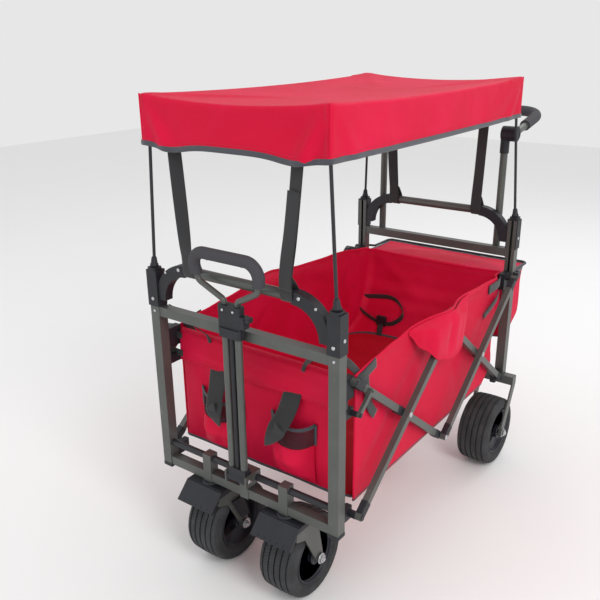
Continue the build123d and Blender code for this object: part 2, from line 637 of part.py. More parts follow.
def pull_loop():
    """The sliding legs and the loop, with its grip: (bent rod, grip)."""
    leg_r = HANDLE_BORE_R - HANDLE_LEG_CLEARANCE
    foot_z = CLAMP_TOP_Z - HANDLE_INSERT
    top_y = HANDLE_Y - LOOP_LEAN
    shoulder_z = LOOP_TOP_Z - 62
    right = [
        (HANDLE_TUBE_X, HANDLE_Y, foot_z),
        (HANDLE_TUBE_X, HANDLE_Y, CLAMP_TOP_Z + 8),
        (LOOP_HALF - 12, HANDLE_Y - LOOP_LEAN / 2, shoulder_z),
        (LOOP_HALF, top_y, LOOP_TOP_Z),
    ]
    points = right + [(-x, y, z) for x, y, z in reversed(right)]
    path = FilletPolyline(*points, radius=[14, 16, 30, 30, 16, 14])
    core = sweep(Plane(origin=path @ 0, z_dir=path % 0) * Circle(leg_r), path=path)
    grip_path = FilletPolyline(*[Vector(*p) for p in points[2:6]], radius=[30, 30])
    grip = sweep(Plane(origin=grip_path @ 0, z_dir=grip_path % 0) * Circle(GRIP_R), path=grip_path)
    grip &= block(-200, 200, HANDLE_Y - 100, HANDLE_Y + 100, shoulder_z + 14, LOOP_TOP_Z + 60)
    bore = sweep(Plane(origin=path @ 0, z_dir=path % 0) * Circle(leg_r - RAIL_WALL), path=path)
    return core - bore, grip - core


# ---- cloth ----
def basket_side():
    """Right-hand side wall, cut away low at the rear."""
    rear_low = [(WALL_REAR_Y, WALL_CUT_Z), (WALL_REAR_Y - 22, WALL_BEND_Z), (WALL_CUT_Y, FLOOR_Z)]
    rim = [(WALL_FRONT_Y, FRONT_RIM_Z), (0, RIM_Z), (WALL_REAR_Y, RIM_Z - 8)]
    return side_plate([(WALL_FRONT_Y, FLOOR_Z), *rim, *rear_low], BASKET_HALF - CLOTH, BASKET_HALF)


def basket_floor():
    """Floor board in its cloth, with a sewn channel just behind the front panel."""
    half = BASKET_HALF - CLOTH - SEAT_GAP
    front_half = POST_X - SLIDER_HALF - CLOTH_GAP
    front_y = -POST_Y + STRUT / 2 + SEAT_GAP
    top = FLOOR_Z + FLOOR_THICK
    main = block(-half, half, WALL_FRONT_Y, WALL_CUT_Y, FLOOR_Z, top)
    main += block(-front_half, front_half, front_y, WALL_FRONT_Y, FLOOR_Z, top)
    channel_y = WALL_FRONT_Y + CHANNEL
    return main - block(-half - 1, half + 1, channel_y, channel_y + CHANNEL, top - CHANNEL / 2, top + 1)


def basket_front_panel():
    """The panel with the pockets, carried by the front frame."""
    half = POST_X - SLIDER_HALF - CLOTH_GAP
    foot_z = FLOOR_Z + FLOOR_THICK + SEAT_GAP
    return block(-half, half, BASKET_FRONT_Y - 6, BASKET_FRONT_Y + CLOTH, foot_z, FRONT_RIM_Z)


def basket_rear_wall():
    """The rear wall leans back from the floor to behind the posts."""
    half = POST_X - POST / 2 - 3
    profile = [
        (WALL_CUT_Y + SEAT_GAP, FLOOR_Z),
        (WALL_CUT_Y + SEAT_GAP + CLOTH, FLOOR_Z),
        (WALL_REAR_Y - 16, WALL_BEND_Z),
        (BASKET_REAR_Y, WALL_CUT_Z + 20),
        (BASKET_REAR_Y, RIM_Z - 18),
        (BASKET_REAR_Y - CLOTH, RIM_Z - 18),
        (BASKET_REAR_Y - CLOTH, WALL_CUT_Z + 21.5),
        (WALL_REAR_Y - 18, WALL_CUT_Z - 30),
    ]
    return side_plate(profile, -half, half)


def rear_bag():
    """The storage bag behind the rear frame, open at the top."""
    half = POST_X - 8
    y0 = BASKET_REAR_Y + SEAT_GAP
    y1 = y0 + BAG_DEPTH
    outer = block(-half, half, y0, y1, BAG_FOOT_Z, BAG_RIM_Z)
    outer = chamfer(outer.edges().filter_by(Axis.X).group_by(Axis.Z)[0].sort_by(Axis.Y)[-1:], BAG_SLOPE)
    foot_z = BAG_FOOT_Z + CLOTH
    hollow = block(-half + CLOTH, half - CLOTH, y0 + CLOTH, y1 - CLOTH, foot_z, BAG_RIM_Z + 1)
    hollow = chamfer(hollow.edges().filter_by(Axis.X).group_by(Axis.Z)[0].sort_by(Axis.Y)[-1:], BAG_SLOPE)
    return outer - hollow


def bag_lid():
    """The lid, hung from the hoop's line."""
    half = POST_X - 10
    y0 = BASKET_REAR_Y + 2
    low_z = BAG_RIM_Z + LID_GAP
    return block(-half, half, y0, y0 + BAG_DEPTH - 6, low_z, low_z + LID_THICK)


def bag_hoop():
    """The wire round the lid, with its ends outside the posts and a knob on each."""
    x = POST_X + POST / 2 + 6
    y1 = BASKET_REAR_Y + BAG_DEPTH
    z = BAG_RIM_Z + LID_GAP + LID_THICK + HOOP_R + 0.2
    half = POST_X - 6
    points = [(x, POST_Y, HOOP_Z), (x, POST_Y + 34, HOOP_Z), (half, POST_Y + 60, z), (half, y1, z)]
    points += [(-px, py, pz) for px, py, pz in reversed(points)]
    path = FilletPolyline(*points, radius=[8, 8, 16, 16, 8, 8])
    wire = sweep(Plane(origin=path @ 0, z_dir=path % 0) * Circle(HOOP_R), path=path)
    edge = POST_X + POST / 2 + 0.3
    knob = pin_x(edge, x + 9, POST_Y, HOOP_Z, 9) - wire
    return wire, pair(knob)


def canopy():
    """Roof and skirts, open below."""
    outer = block(-CANOPY_HALF, CANOPY_HALF, CANOPY_FRONT_Y, CANOPY_REAR_Y, CANOPY_HEM_Z, CANOPY_ROOF_Z)
    half, roof_z = CANOPY_HALF - CANOPY_CLOTH, CANOPY_ROOF_Z - CANOPY_CLOTH
    front_y, rear_y = CANOPY_FRONT_Y + CANOPY_CLOTH, CANOPY_REAR_Y - CANOPY_CLOTH
    return outer - block(-half, half, front_y, rear_y, CANOPY_HEM_Z - 1, roof_z)


# ---- scissors ----
def arms():
    """The four pairs of arms."""

    def bored(*pivots):
        return [(pivot, PIN_CLEARANCE) for pivot in pivots]

    front_high_holes = [*bored(FRONT_HIGH, FRONT_CROSS, STAY_TOP), (MIDDLE_LOW, OPEN_PIN_CLEARANCE)]
    front_high = arm(FRONT_HIGH, MIDDLE_LOW, ARM_INNER_X, front_high_holes)
    front_low = arm(FRONT_LOW, MIDDLE_HIGH, ARM_OUTER_X, bored(FRONT_LOW, FRONT_CROSS, MIDDLE_HIGH))
    rear_low = arm(REAR_LOW, MIDDLE_HIGH, ARM_INNER_X, bored(REAR_LOW, REAR_CROSS, MIDDLE_HIGH))
    rear_high = arm(REAR_HIGH, MIDDLE_LOW, ARM_OUTER_X, bored(REAR_HIGH, REAR_CROSS, MIDDLE_LOW))
    return pair(front_high), pair(front_low), pair(rear_low), pair(rear_high)


def sliders(side, reach_x, arm_x):
    """Blocks on the posts' inner faces, with a tongue in the slot and the scissor's high pin."""
    y_near = side * (POST_INNER_Y - SLIDE_GAP)
    y0, y1 = sorted((y_near, y_near - side * (POST_INNER_Y - SLIDE_GAP - PIN_Y + 9)))
    top = HIGH_PIN_Z + SLIDER_ABOVE_PIN
    body = block(POST_X - SLIDER_HALF, FACE_X, y0, y1, top - SLIDER_HEIGHT, top)
    t0, t1 = sorted((y_near, side * (POST_INNER_Y + POST_WALL + 3)))
    tongue_top = HIGH_PIN_Z - TONGUE_BELOW_PIN
    body += block(POST_X - TONGUE / 2, POST_X + TONGUE / 2, t0, t1, top - SLIDER_HEIGHT, tongue_top)
    y_pin = side * PIN_Y
    if reach_x > FACE_X:
        body += pin_x(FACE_X - 1, reach_x, y_pin, HIGH_PIN_Z, 8)
    end = arm_x + ARM_THICK
    body += pin_x(FACE_X - 1, end + HEAD_GAP, y_pin, HIGH_PIN_Z, PIN_R)
    body += pin_x(end + HEAD_GAP, end + HEAD_GAP + HEAD_THICK, y_pin, HIGH_PIN_Z, HEAD_R)
    return pair(body)


def stays():
    """Short stays outside the front arms."""
    holes = [(STAY_TOP, PIN_CLEARANCE), (STAY_FOOT, PIN_CLEARANCE)]
    return pair(arm(STAY_TOP, STAY_FOOT, STAY_X, holes, STAY_THICK, STAY_WIDTH, 0))


def stay_collars():
    """Small blocks in the front posts' slots that carry the stays' feet."""
    y, z = STAY_FOOT
    y_near = -POST_INNER_Y + SLIDE_GAP
    half = 10
    body = block(POST_X - 9, FACE_X, y_near, y + 7, z - half, z + half)
    tongue_y = -POST_INNER_Y - POST_WALL - 3
    body += block(POST_X - TONGUE / 2, POST_X + TONGUE / 2, tongue_y, y_near, z - half, z + half)
    head_x = STAY_X + STAY_THICK + HEAD_GAP
    body += pin_x(FACE_X - 1, STAY_X - 0.2, y, z, 6)
    body += pin_x(STAY_X - 0.5, head_x, y, z, PIN_R)
    body += pin_x(head_x, head_x + HEAD_THICK, y, z, 5)
    return pair(body)


def build():
    """Write every node."""
    for side, name, foot_z, slot_z in (
        (-1, "front", FRONT_POST_FOOT_Z, STAY_FOOT[1] - 16),
        (1, "rear", REAR_BEAM_Z + POST / 2, HIGH_PIN_Z - SLIDER_HEIGHT),
    ):
        save(f"{name}_posts", end_posts(side, foot_z, slot_z))
        save(f"{name}_corner_caps", corner_caps(side))
        save(f"{name}_cross_rails", cross_rails(side))
        save(f"{name}_canopy_poles", pair(rod(*pole_ends(side), POLE_R)))
        strap_x = FRONT_STRAP_X if side < 0 else REAR_STRAP_X
        save(f"{name}_canopy_straps", canopy_straps(side, strap_x, strap_x + STRAP_SPREAD))

    # front shoes carry the outer arms, rear shoes the inner ones
    front_lug = pin_lugs(-1, ARM_OUTER_X - 0.4) + low_pins(-1, ARM_OUTER_X - 1, ARM_OUTER_X)
    rear_lug = pin_lugs(1, FACE_X) + low_pins(1, FACE_X - 1, ARM_INNER_X)
    save("front_pin_shoes", pair(front_lug))
    save("rear_pin_shoes", pair(rear_lug))

    carrier, axles = rear_axle_carrier()
    save("rear_axle_carrier", group(carrier, axles))
    save("push_uprights", push_uprights())
    save("push_hinge_cheeks", push_hinge_cheeks())
    bar, foam, discs = push_handle()
    save("push_handle_bar", bar)
    save("push_handle_grip", foam)
    save("push_handle_knuckles", discs)

    for name, x in (("left", -REAR_WHEEL_X), ("right", REAR_WHEEL_X)):
        save(f"rear_tyre_{name}", tyre(x, REAR_WHEEL_Y))
        save(f"rear_rim_{name}", rim(x, REAR_WHEEL_Y))
    for name, x, inward in (("left", -CASTER_X, 1), ("right", CASTER_X, -1)):
        save(f"front_tyre_{name}", tyre(x, CASTER_AXLE_Y))
        save(f"front_rim_{name}", rim(x, CASTER_AXLE_Y))
        save(f"caster_fork_{name}", caster_fork(x))
        save(f"caster_fender_{name}", caster_fender(x))
        save(f"brake_pedal_{name}", brake_pedal(x, inward))

    save("front_base", front_base())
    save("front_floor_bar", front_floor_bar())
    save("pull_handle_spine", pull_spine())
    save("pull_handle_tubes", pull_tubes())
    pin_end = EAR_X + EAR + 1.5
    save("pull_handle_pin", pin_x(-pin_end, pin_end, HANDLE_Y, HANDLE_PIVOT_Z, HANDLE_PIN_R))
    save("pull_handle_clamp", pull_clamp())
    save("clamp_lever", clamp_lever())
    loop, grip = pull_loop()
    save("pull_loop", loop)
    save("pull_loop_grip", grip)

    front_high, front_low, rear_low, rear_high = arms()
    save("front_high_arms", front_high)
    save("front_low_arms", front_low)
    save("rear_low_arms", rear_low)
    save("rear_high_arms", rear_high)
    outer_end = ARM_OUTER_X + ARM_THICK
    front_rivets = [rivet(place, ARM_INNER_X, outer_end) for place in (FRONT_CROSS, MIDDLE_HIGH)]
    save("front_arm_rivets", pair(group(*front_rivets)))
    save("rear_arm_rivets", pair(rivet(REAR_CROSS, ARM_INNER_X, outer_end)))
    save("middle_rivets", pair(rivet(MIDDLE_LOW, ARM_INNER_X, outer_end)))
    save("front_sliders", sliders(-1, FACE_X, ARM_INNER_X))
    save("rear_sliders", sliders(1, ARM_OUTER_X - 0.4, ARM_OUTER_X))
    save("front_stays", stays())
    save("stay_collars", stay_collars())

    save("basket_sides", pair(basket_side()))
    save("basket_floor", basket_floor())
    save("basket_front_panel", basket_front_panel())
    save("basket_rear_wall", basket_rear_wall())
    save("rear_bag", rear_bag())
    save("bag_lid", bag_lid())
    hoop, knobs = bag_hoop()
    save("bag_hoop", group(hoop, knobs))
    save("canopy", canopy())


build()
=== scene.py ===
"""Folding pull wagon with a canopy: the cloth, webbing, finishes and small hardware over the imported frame.

Metres. X is the wagon's width, -Y its front, +Z up. The origin is on the floor under the wagon's middle.
"""
import json
import logging
import math
from dataclasses import dataclass
from enum import Enum
from typing import Callable, Iterable, Sequence

import bmesh
import bpy
from mathutils import Matrix, Vector, noise


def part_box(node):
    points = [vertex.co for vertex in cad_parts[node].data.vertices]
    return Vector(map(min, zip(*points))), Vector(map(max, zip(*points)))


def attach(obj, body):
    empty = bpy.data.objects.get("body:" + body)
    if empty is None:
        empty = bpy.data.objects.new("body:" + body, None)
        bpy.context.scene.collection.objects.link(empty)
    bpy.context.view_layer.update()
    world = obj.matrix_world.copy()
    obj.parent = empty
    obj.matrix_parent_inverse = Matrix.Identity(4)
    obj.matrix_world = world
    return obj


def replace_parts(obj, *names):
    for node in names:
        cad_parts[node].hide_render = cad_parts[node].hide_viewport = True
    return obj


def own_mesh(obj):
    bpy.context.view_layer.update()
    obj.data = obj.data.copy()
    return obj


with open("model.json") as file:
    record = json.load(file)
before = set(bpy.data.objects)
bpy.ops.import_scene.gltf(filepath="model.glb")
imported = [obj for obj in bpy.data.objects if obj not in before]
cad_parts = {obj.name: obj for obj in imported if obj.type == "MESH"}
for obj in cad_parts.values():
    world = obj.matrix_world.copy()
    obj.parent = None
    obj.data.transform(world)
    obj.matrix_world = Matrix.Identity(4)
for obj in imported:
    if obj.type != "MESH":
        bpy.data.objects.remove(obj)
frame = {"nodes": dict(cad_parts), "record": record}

log = logging.getLogger("wagon")

Colour = tuple[float, float, float]
Surface = Callable[[float, float], Vector]
UP = Vector((0, 0, 1))
ACROSS = Vector((1, 0, 0))


# ---------------------------------------------------------------- shader writing
class Wire:
    """An output socket in a material, with arithmetic that adds Math nodes."""

    def __init__(self, shader: "Shader", socket: bpy.types.NodeSocket) -> None:
        """Keep the shader that the socket belongs to, and the socket."""
        self.shader = shader
        self.socket = socket

    def _math(self, operation: str, *values: "Wire | float") -> "Wire":
        """Add one Math node over the values."""
        return self.shader.node("ShaderNodeMath", {"operation": operation}, dict(enumerate(values)))

    def __add__(self, other: "Wire | float") -> "Wire":
        """Sum."""
        return self._math("ADD", self, other)

    __radd__ = __add__

    def __sub__(self, other: "Wire | float") -> "Wire":
        """Difference."""
        return self._math("SUBTRACT", self, other)

    def __rsub__(self, other: float) -> "Wire":
        """Difference from a number."""
        return self._math("SUBTRACT", other, self)

    def __mul__(self, other: "Wire | float") -> "Wire":
        """Product."""
        return self._math("MULTIPLY", self, other)

    __rmul__ = __mul__

    def __truediv__(self, other: "Wire | float") -> "Wire":
        """Quotient."""
        return self._math("DIVIDE", self, other)

    def __pow__(self, other: "Wire | float") -> "Wire":
        """Power."""
        return self._math("POWER", self, other)

    def __gt__(self, other: "Wire | float") -> "Wire":
        """One where this is the larger, and nought elsewhere."""
        return self._math("GREATER_THAN", self, other)

    def __abs__(self) -> "Wire":
        """Size without sign."""
        return self._math("ABSOLUTE", self)

    def sine(self) -> "Wire":
        """Sine of the value in radians."""
        return self._math("SINE", self)

    def kept(self, low: float, high: float) -> "Wire":
        """The value, held between two numbers."""
        return self._math("MINIMUM", self._math("MAXIMUM", self, low), high)

    def ramped(self, low: float, high: float) -> "Wire":
        """Nought at low, one at high, and smooth between."""
        settings = {"interpolation_type": "SMOOTHSTEP"}
        values = {"Value": self, "From Min": low, "From Max": high, "To Min": 0.0, "To Max": 1.0}
        return self.shader.node("ShaderNodeMapRange", settings, values)


class Shader:
    """One material: a Principled surface, and the nodes that feed it."""

    def __init__(self, name: str) -> None:
        """Make an empty node material.

        Args:
            name: the finish's name.
        """
        self.material = bpy.data.materials.new(name)
        self.material.use_nodes = True
        self.tree = self.material.node_tree
        self.surface = self.tree.nodes["Principled BSDF"]

    def node(self, kind: str, settings: dict, values: dict, output: int | str = 0) -> Wire:
        """Add a node.

        Args:
            kind: the node's type.
            settings: its own properties; "stops" sets a ramp's (place, colour) pairs.
            values: numbers, colours or wires by socket name or index.
            output: which output to give back.

        Returns:
            The output as a wire.
        """
        made = self.tree.nodes.new(kind)
        for key, value in settings.items():
            if key == "stops":
                self._set_stops(made, value)
            else:
                setattr(made, key, value)
        for key, value in values.items():
            self.feed(made.inputs[key], value)
        return Wire(self, made.outputs[output])

    @staticmethod
    def _set_stops(ramp: bpy.types.Node, stops: Sequence[tuple[float, Colour]]) -> None:
        """Set a ramp's stops."""
        elements = ramp.color_ramp.elements
        while len(elements) < len(stops):
            elements.new(0.5)
        for element, (place, colour) in zip(elements, stops):
            element.position = place
            element.color = (*colour, 1.0)

    def feed(self, socket: bpy.types.NodeSocket, value: "Wire | float | Colour") -> None:
        """Link a wire to a socket, or set the socket's own value."""
        if isinstance(value, Wire):
            self.tree.links.new(value.socket, socket)
        elif isinstance(value, tuple) and len(value) == 3 and socket.type == "RGBA":
            socket.default_value = (*value, 1.0)
        else:
            socket.default_value = value

    def set(self, **values: "Wire | float | Colour") -> None:
        """Set the surface's sockets; underscores stand for spaces."""
        for key, value in values.items():
            self.feed(self.surface.inputs[key.replace("_", " ")], value)

    def place(self) -> Wire:
        """Rest position on the piece, in metres."""
        return self.node("ShaderNodeTexCoord", {}, {}, "Object")

    def facing(self) -> Wire:
        """The surface's direction in the piece's own axes."""
        return self.node("ShaderNodeTexCoord", {}, {}, "Normal")

    def parts(self, vector: Wire) -> tuple[Wire, Wire, Wire]:
        """X, Y and Z of a vector."""
        first = self.node("ShaderNodeSeparateXYZ", {}, {0: vector})
        outputs = first.socket.node.outputs
        return first, Wire(self, outputs[1]), Wire(self, outputs[2])

    def cloud(
        self, scale: float, detail: float = 3.0, roughness: float = 0.55, stretch: Colour = (1, 1, 1),
    ) -> Wire:
        """Soft noise from nought to one.

        Args:
            scale: lumps in a metre.
            detail: octaves.
            roughness: how strong the finer octaves are.
            stretch: scale along each axis.

        Returns:
            The noise's value.
        """
        where = self.place()
        if stretch != (1, 1, 1):
            where = self.node("ShaderNodeVectorMath", {"operation": "MULTIPLY"}, {0: where, 1: stretch})
        values = {"Vector": where, "Scale": scale, "Detail": detail, "Roughness": roughness}
        return self.node("ShaderNodeTexNoise", {}, values, 0)

    def blend(self, share: "Wire | float", first: "Wire | Colour", second: "Wire | Colour") -> Wire:
        """Mix two colours."""
        settings = {"data_type": "RGBA"}
        return self.node("ShaderNodeMix", settings, {0: share, 6: first, 7: second}, 2)

    def bump(self, height: Wire, strength: float, distance: float) -> None:
        """Feed the surface's normal from a height in metres times distance."""
        values = {"Strength": strength, "Distance": distance, "Height": height}
        self.set(Normal=self.node("ShaderNodeBump", {}, values))

    def threads(self, pitch: float) -> Wire:
        """A plain weave laid on whichever plane the surface faces.

        Args:
            pitch: thread spacing in metres.

        Returns:
            Height from about nought to one.
        """
        turns = math.pi / pitch
        x, y, z = (abs((axis * turns).sine()) for axis in self.parts(self.place()))
        nx, ny, nz = (axis * axis for axis in self.parts(self.facing()))
        return (y + z) * 0.5 * nx + (x + z) * 0.5 * ny + (x + y) * 0.5 * nz


# ---------------------------------------------------------------- finishes
@dataclass(frozen=True)
class Enamel:
    """Satin powder coat on steel, with faint mottling, dust and scuffs."""

    name: str
    colour: Colour
    lift: Colour
    roughness: float = 0.38
    metallic: float = 0.35

    def make(self) -> bpy.types.Material:
        """Build the material."""
        shader = Shader(self.name)
        mottle = shader.cloud(16.0, 4.0)
        grain = shader.cloud(1500.0, 2.0)
        scuff = shader.cloud(190.0, 3.0, 0.6, (1.0, 1.0, 0.22)).ramped(0.66, 0.76)
        dark = tuple(0.82 * c for c in self.colour)
        coat = shader.blend(mottle.ramped(0.3, 0.75), dark, self.colour)
        shader.set(
            Base_Color=shader.blend(scuff * 0.35, coat, self.lift),
            Roughness=(mottle * 0.16 + self.roughness + scuff * 0.12).kept(0.0, 1.0),
            Metallic=self.metallic,
            Coat_Weight=0.18,
            Coat_Roughness=0.32,
        )
        shader.bump(grain * 0.6 + scuff * 0.4, 0.22, 0.0004)
        return shader.material


@dataclass(frozen=True)
class Moulding:
    """Matt moulded plastic with a fine spark-eroded grain."""

    name: str
    colour: Colour
    roughness: float = 0.52
    grain: float = 1100.0

    def make(self) -> bpy.types.Material:
        """Build the material."""
        shader = Shader(self.name)
        cloud = shader.cloud(22.0, 3.0)
        grain = shader.cloud(self.grain, 2.0, 0.7)
        dusty = tuple(min(1.0, 1.5 * c + 0.012) for c in self.colour)
        shader.set(
            Base_Color=shader.blend(cloud.ramped(0.42, 0.8) * 0.5, self.colour, dusty),
            Roughness=(cloud * 0.2 + self.roughness - 0.08).kept(0.0, 1.0),
            Specular_IOR_Level=0.45,
        )
        shader.bump(grain, 0.35, 0.0003)
        return shader.material


@dataclass(frozen=True)
class CoatedCloth:
    """Coated polyester: a close weave with a soft sheen, slight fading, creases and painted shade between the
    threads.
    """

    name: str
    colour: Colour
    faded: Colour
    # deep: the darker red painted into the gaps between threads, as painted shade
    deep: Colour
    pitch: float = 0.0011
    crease: float = 1.0

    def make(self) -> bpy.types.Material:
        """Build the material."""
        shader = Shader(self.name)
        weave = shader.threads(self.pitch)
        slub = shader.cloud(420.0, 2.0, 0.5, (1.0, 0.12, 1.0))
        crease = shader.cloud(24.0, 3.0, 0.5)
        wear = shader.cloud(5.0, 3.0)
        base = shader.blend(wear.ramped(0.35, 0.7), self.colour, self.faded)
        # Painted shade: the gaps between threads are darkened toward the deep colour.
        base = shader.blend((1.0 - weave) * 0.45, base, self.deep)
        shader.set(
            Base_Color=base,
            Roughness=(0.56 + slub * 0.14 - weave * 0.08).kept(0.0, 1.0),
            Sheen_Weight=0.05,
            Sheen_Roughness=0.4,
            Sheen_Tint=(1.0, 0.32, 0.46, 1.0),
            Specular_IOR_Level=0.14,
        )
        shader.bump(weave * 0.16 + slub * 0.08 + crease * (2.2 * self.crease), 0.55, 0.0016)
        return shader.material


@dataclass(frozen=True)
class Webbing:
    """Ribbed webbing tape, paler on the rib crests: fibre fuzz there, and a painted highlight."""

    name: str
    colour: Colour
    pitch: float = 0.0019

    def make(self) -> bpy.types.Material:
        """Build the material."""
        shader = Shader(self.name)
        ribs = shader.threads(self.pitch)
        fuzz = shader.cloud(900.0, 2.0, 0.7)
        pale = tuple(min(1.0, 2.2 * c + 0.01) for c in self.colour)
        shader.set(
            # Paler where fuzz meets the rib crests: partly real fibre fuzz, partly a painted highlight on the
            # ribs.
            Base_Color=shader.blend((ribs * fuzz).kept(0.0, 1.0), self.colour, pale),
            Roughness=(0.62 + fuzz * 0.2).kept(0.0, 1.0),
            Sheen_Weight=0.25,
            Sheen_Roughness=0.5,
        )
        shader.bump(ribs * 0.8 + fuzz * 0.3, 0.6, 0.0006)
        return shader.material


@dataclass(frozen=True)
class NetCloth:
    """Open knitted net: dark threads with holes between them."""

    name: str
    colour: Colour
    pitch: float = 0.0034

    def make(self) -> bpy.types.Material:
        """Build the material."""
        shader = Shader(self.name)
        turns = math.pi / self.pitch
        x, _, z = shader.parts(shader.place())
        first = abs(((x + z) * turns).sine())
        second = abs(((x - z) * turns).sine())
        hole = (first * second).ramped(0.16, 0.30)
        fuzz = shader.cloud(800.0, 2.0)
        pale = tuple(2.0 * c for c in self.colour)
        shader.set(
            Base_Color=shader.blend(fuzz, self.colour, pale),
            Roughness=0.7,
            Alpha=1.0 - hole * 0.80,
        )
        shader.bump(first + second, 0.5, 0.0004)
        return shader.material


@dataclass(frozen=True)
class TyreRubber:
    """Moulded tyre rubber with fine slanted sipes across the tread ribs."""

    name: str
    colour: Colour
    sipes: int = 84

    def make(self) -> bpy.types.Material:
        """Build the material."""
        shader = Shader(self.name)
        across, round_y, round_z = shader.parts(shader.node("ShaderNodeTexCoord", {}, {}, "Generated"))
        angle = round_y - 0.5
        angle = angle._math("ARCTAN2", round_z - 0.5, angle)
        zigzag = abs((across * (5.0 * math.pi)).sine())
        radius = ((round_y - 0.5) ** 2.0 + (round_z - 0.5) ** 2.0) ** 0.5
        tread = radius.ramped(0.462, 0.478)
        sipe = abs((angle * (0.5 * self.sipes) + zigzag * 1.6).sine()).ramped(0.0, 0.32)
        dust = shader.cloud(34.0, 4.0)
        grain = shader.cloud(1300.0, 2.0, 0.6)
        rings = abs((radius * 150.0).sine()).ramped(0.0, 0.5)
        grey = tuple(min(1.0, 2.1 * c + 0.008) for c in self.colour)
        shader.set(
            Base_Color=shader.blend(
                (dust.ramped(0.35, 0.75) * 0.55 + tread * 0.18).kept(0.0, 1.0), self.colour, grey,
            ),
            Roughness=(0.72 + dust * 0.2).kept(0.0, 1.0),
            Specular_IOR_Level=0.35,
        )
        height = tread * (sipe * 1.6) + (1.0 - tread) * (rings * 0.4) + grain * 0.12
        shader.bump(height, 0.8, 0.0012)
        return shader.material


@dataclass(frozen=True)
class BrightSteel:
    """Zinc-plated steel of rivets, bolts and nuts."""

    name: str
    colour: Colour
    roughness: float = 0.3

    def make(self) -> bpy.types.Material:
        """Build the material."""
        shader = Shader(self.name)
        cloud = shader.cloud(260.0, 3.0)
        scratch = shader.cloud(900.0, 2.0, 0.6, (1.0, 0.1, 1.0))
        dull = tuple(0.62 * c for c in self.colour)
        shader.set(
            Base_Color=shader.blend(cloud.ramped(0.4, 0.7), self.colour, dull),
            Roughness=(cloud * 0.2 + self.roughness).kept(0.0, 1.0),
            Metallic=1.0,
        )
        shader.bump(scratch, 0.2, 0.0002)
        return shader.material


@dataclass(frozen=True)
class Foam:
    """Closed-cell foam sleeve with a fine pebbled skin."""

    name: str
    colour: Colour

    def make(self) -> bpy.types.Material:
        """Build the material."""
        shader = Shader(self.name)
        values = {"Vector": shader.place(), "Scale": 620.0}
        cells = shader.node("ShaderNodeTexVoronoi", {"feature": "F1"}, values, 0)
        cloud = shader.cloud(30.0, 3.0)
        pale = tuple(1.8 * c + 0.01 for c in self.colour)
        shader.set(
            Base_Color=shader.blend(cloud.ramped(0.4, 0.8) * 0.6, self.colour, pale),
            Roughness=(0.66 + cloud * 0.16).kept(0.0, 1.0),
            Sheen_Weight=0.15,
        )
        shader.bump(cells, 0.4, 0.0005)
        return shader.material


@dataclass(frozen=True)
class StudioFloor:
    """Pale paper sweep."""

    name: str
    colour: Colour

    def make(self) -> bpy.types.Material:
        """Build the material."""
        shader = Shader(self.name)
        cloud = shader.cloud(3.0, 2.0)
        shade = tuple(0.985 * c for c in self.colour)
        shader.set(Base_Color=shader.blend(cloud, self.colour, shade), Roughness=0.9, Specular_IOR_Level=0.1)
        return shader.material


class Finish(Enum):
    """Every finish on the wagon, with the record's material slot that it belongs to."""

    FRAME = ("frame_steel", Enamel("frame_powder_coat", (0.105, 0.112, 0.104), (0.30, 0.31, 0.29)))
    BLACK_STEEL = (
        "black_steel", Enamel("black_powder_coat", (0.016, 0.017, 0.022), (0.12, 0.12, 0.13), 0.42, 0.2),
    )
    PLASTIC = ("plastic_black", Moulding("black_moulding", (0.011, 0.012, 0.017)))
    CLOTH = (
        "fabric_red",
        CoatedCloth("red_coated_cloth", (0.66, 0.003, 0.040), (0.74, 0.006, 0.060), (0.42, 0.001, 0.020)),
    )
    # A darker copy of the red cloth for the floor pad and seat panel: painted shade of the basket's inside.
    LINING = (
        "fabric_red",
        CoatedCloth("red_cloth_painted_shade", (0.50, 0.006, 0.022), (0.55, 0.008, 0.030), (0.32, 0.002, 0.012), 0.0013),
    )
    WEBBING = ("webbing_black", Webbing("black_webbing", (0.0065, 0.007, 0.0085)))
    BINDING = ("webbing_black", Webbing("grey_binding", (0.030, 0.033, 0.044), 0.0012))
    NET = ("webbing_black", NetCloth("dark_net", (0.030, 0.006, 0.012)))
    TYRE = ("tyre", TyreRubber("tyre_rubber", (0.030, 0.031, 0.033)))
    RIM = ("rim", Moulding("rim_moulding", (0.010, 0.011, 0.018), 0.42, 700.0))
    BOLT = ("bolt_steel", BrightSteel("bright_zinc", (0.62, 0.62, 0.64)))
    GRIP = ("grip_foam", Foam("grip_foam", (0.020, 0.021, 0.027)))
    RED_THREAD = ("fabric_red", Webbing("red_thread", (0.34, 0.004, 0.022), 0.0007))
    BLACK_THREAD = ("webbing_black", Webbing("black_thread", (0.012, 0.012, 0.015), 0.0007))

    def material(self) -> bpy.types.Material:
        """The finish's material, made once."""
        _, recipe = self.value
        return bpy.data.materials.get(recipe.name) or recipe.make()

    def put_on(self, piece: bpy.types.Object) -> None:
        """Give a piece this finish."""
        piece.data.materials.clear()
        piece.data.materials.append(self.material())


# ---------------------------------------------------------------- mesh making
def as_object(
    name: str, points: Iterable[Vector], faces: Iterable[Sequence[int]], smooth: bool = True,
) -> bpy.types.Object:
    """Make a mesh object at the origin.

    Args:
        name: the piece's name.
        points: corners in metres.
        faces: corner numbers of each face.
        smooth: smooth shading or flat.

    Returns:
        The new object.
    """
    mesh = bpy.data.meshes.new(name)
    mesh.from_pydata([tuple(p) for p in points], [], [tuple(f) for f in faces])
    mesh.polygons.foreach_set("use_smooth", [smooth] * len(mesh.polygons))
    mesh.update()
    piece = bpy.data.objects.new(name, mesh)
    bpy.context.scene.collection.objects.link(piece)
    return piece


def settle(piece: bpy.types.Object) -> bpy.types.Object:
    """Apply all of a piece's modifiers to its mesh."""
    graph = bpy.context.evaluated_depsgraph_get()
    shaped = bpy.data.meshes.new_from_object(piece.evaluated_get(graph))
    piece.modifiers.clear()
    old, piece.data = piece.data, shaped
    bpy.data.meshes.remove(old)
    return piece


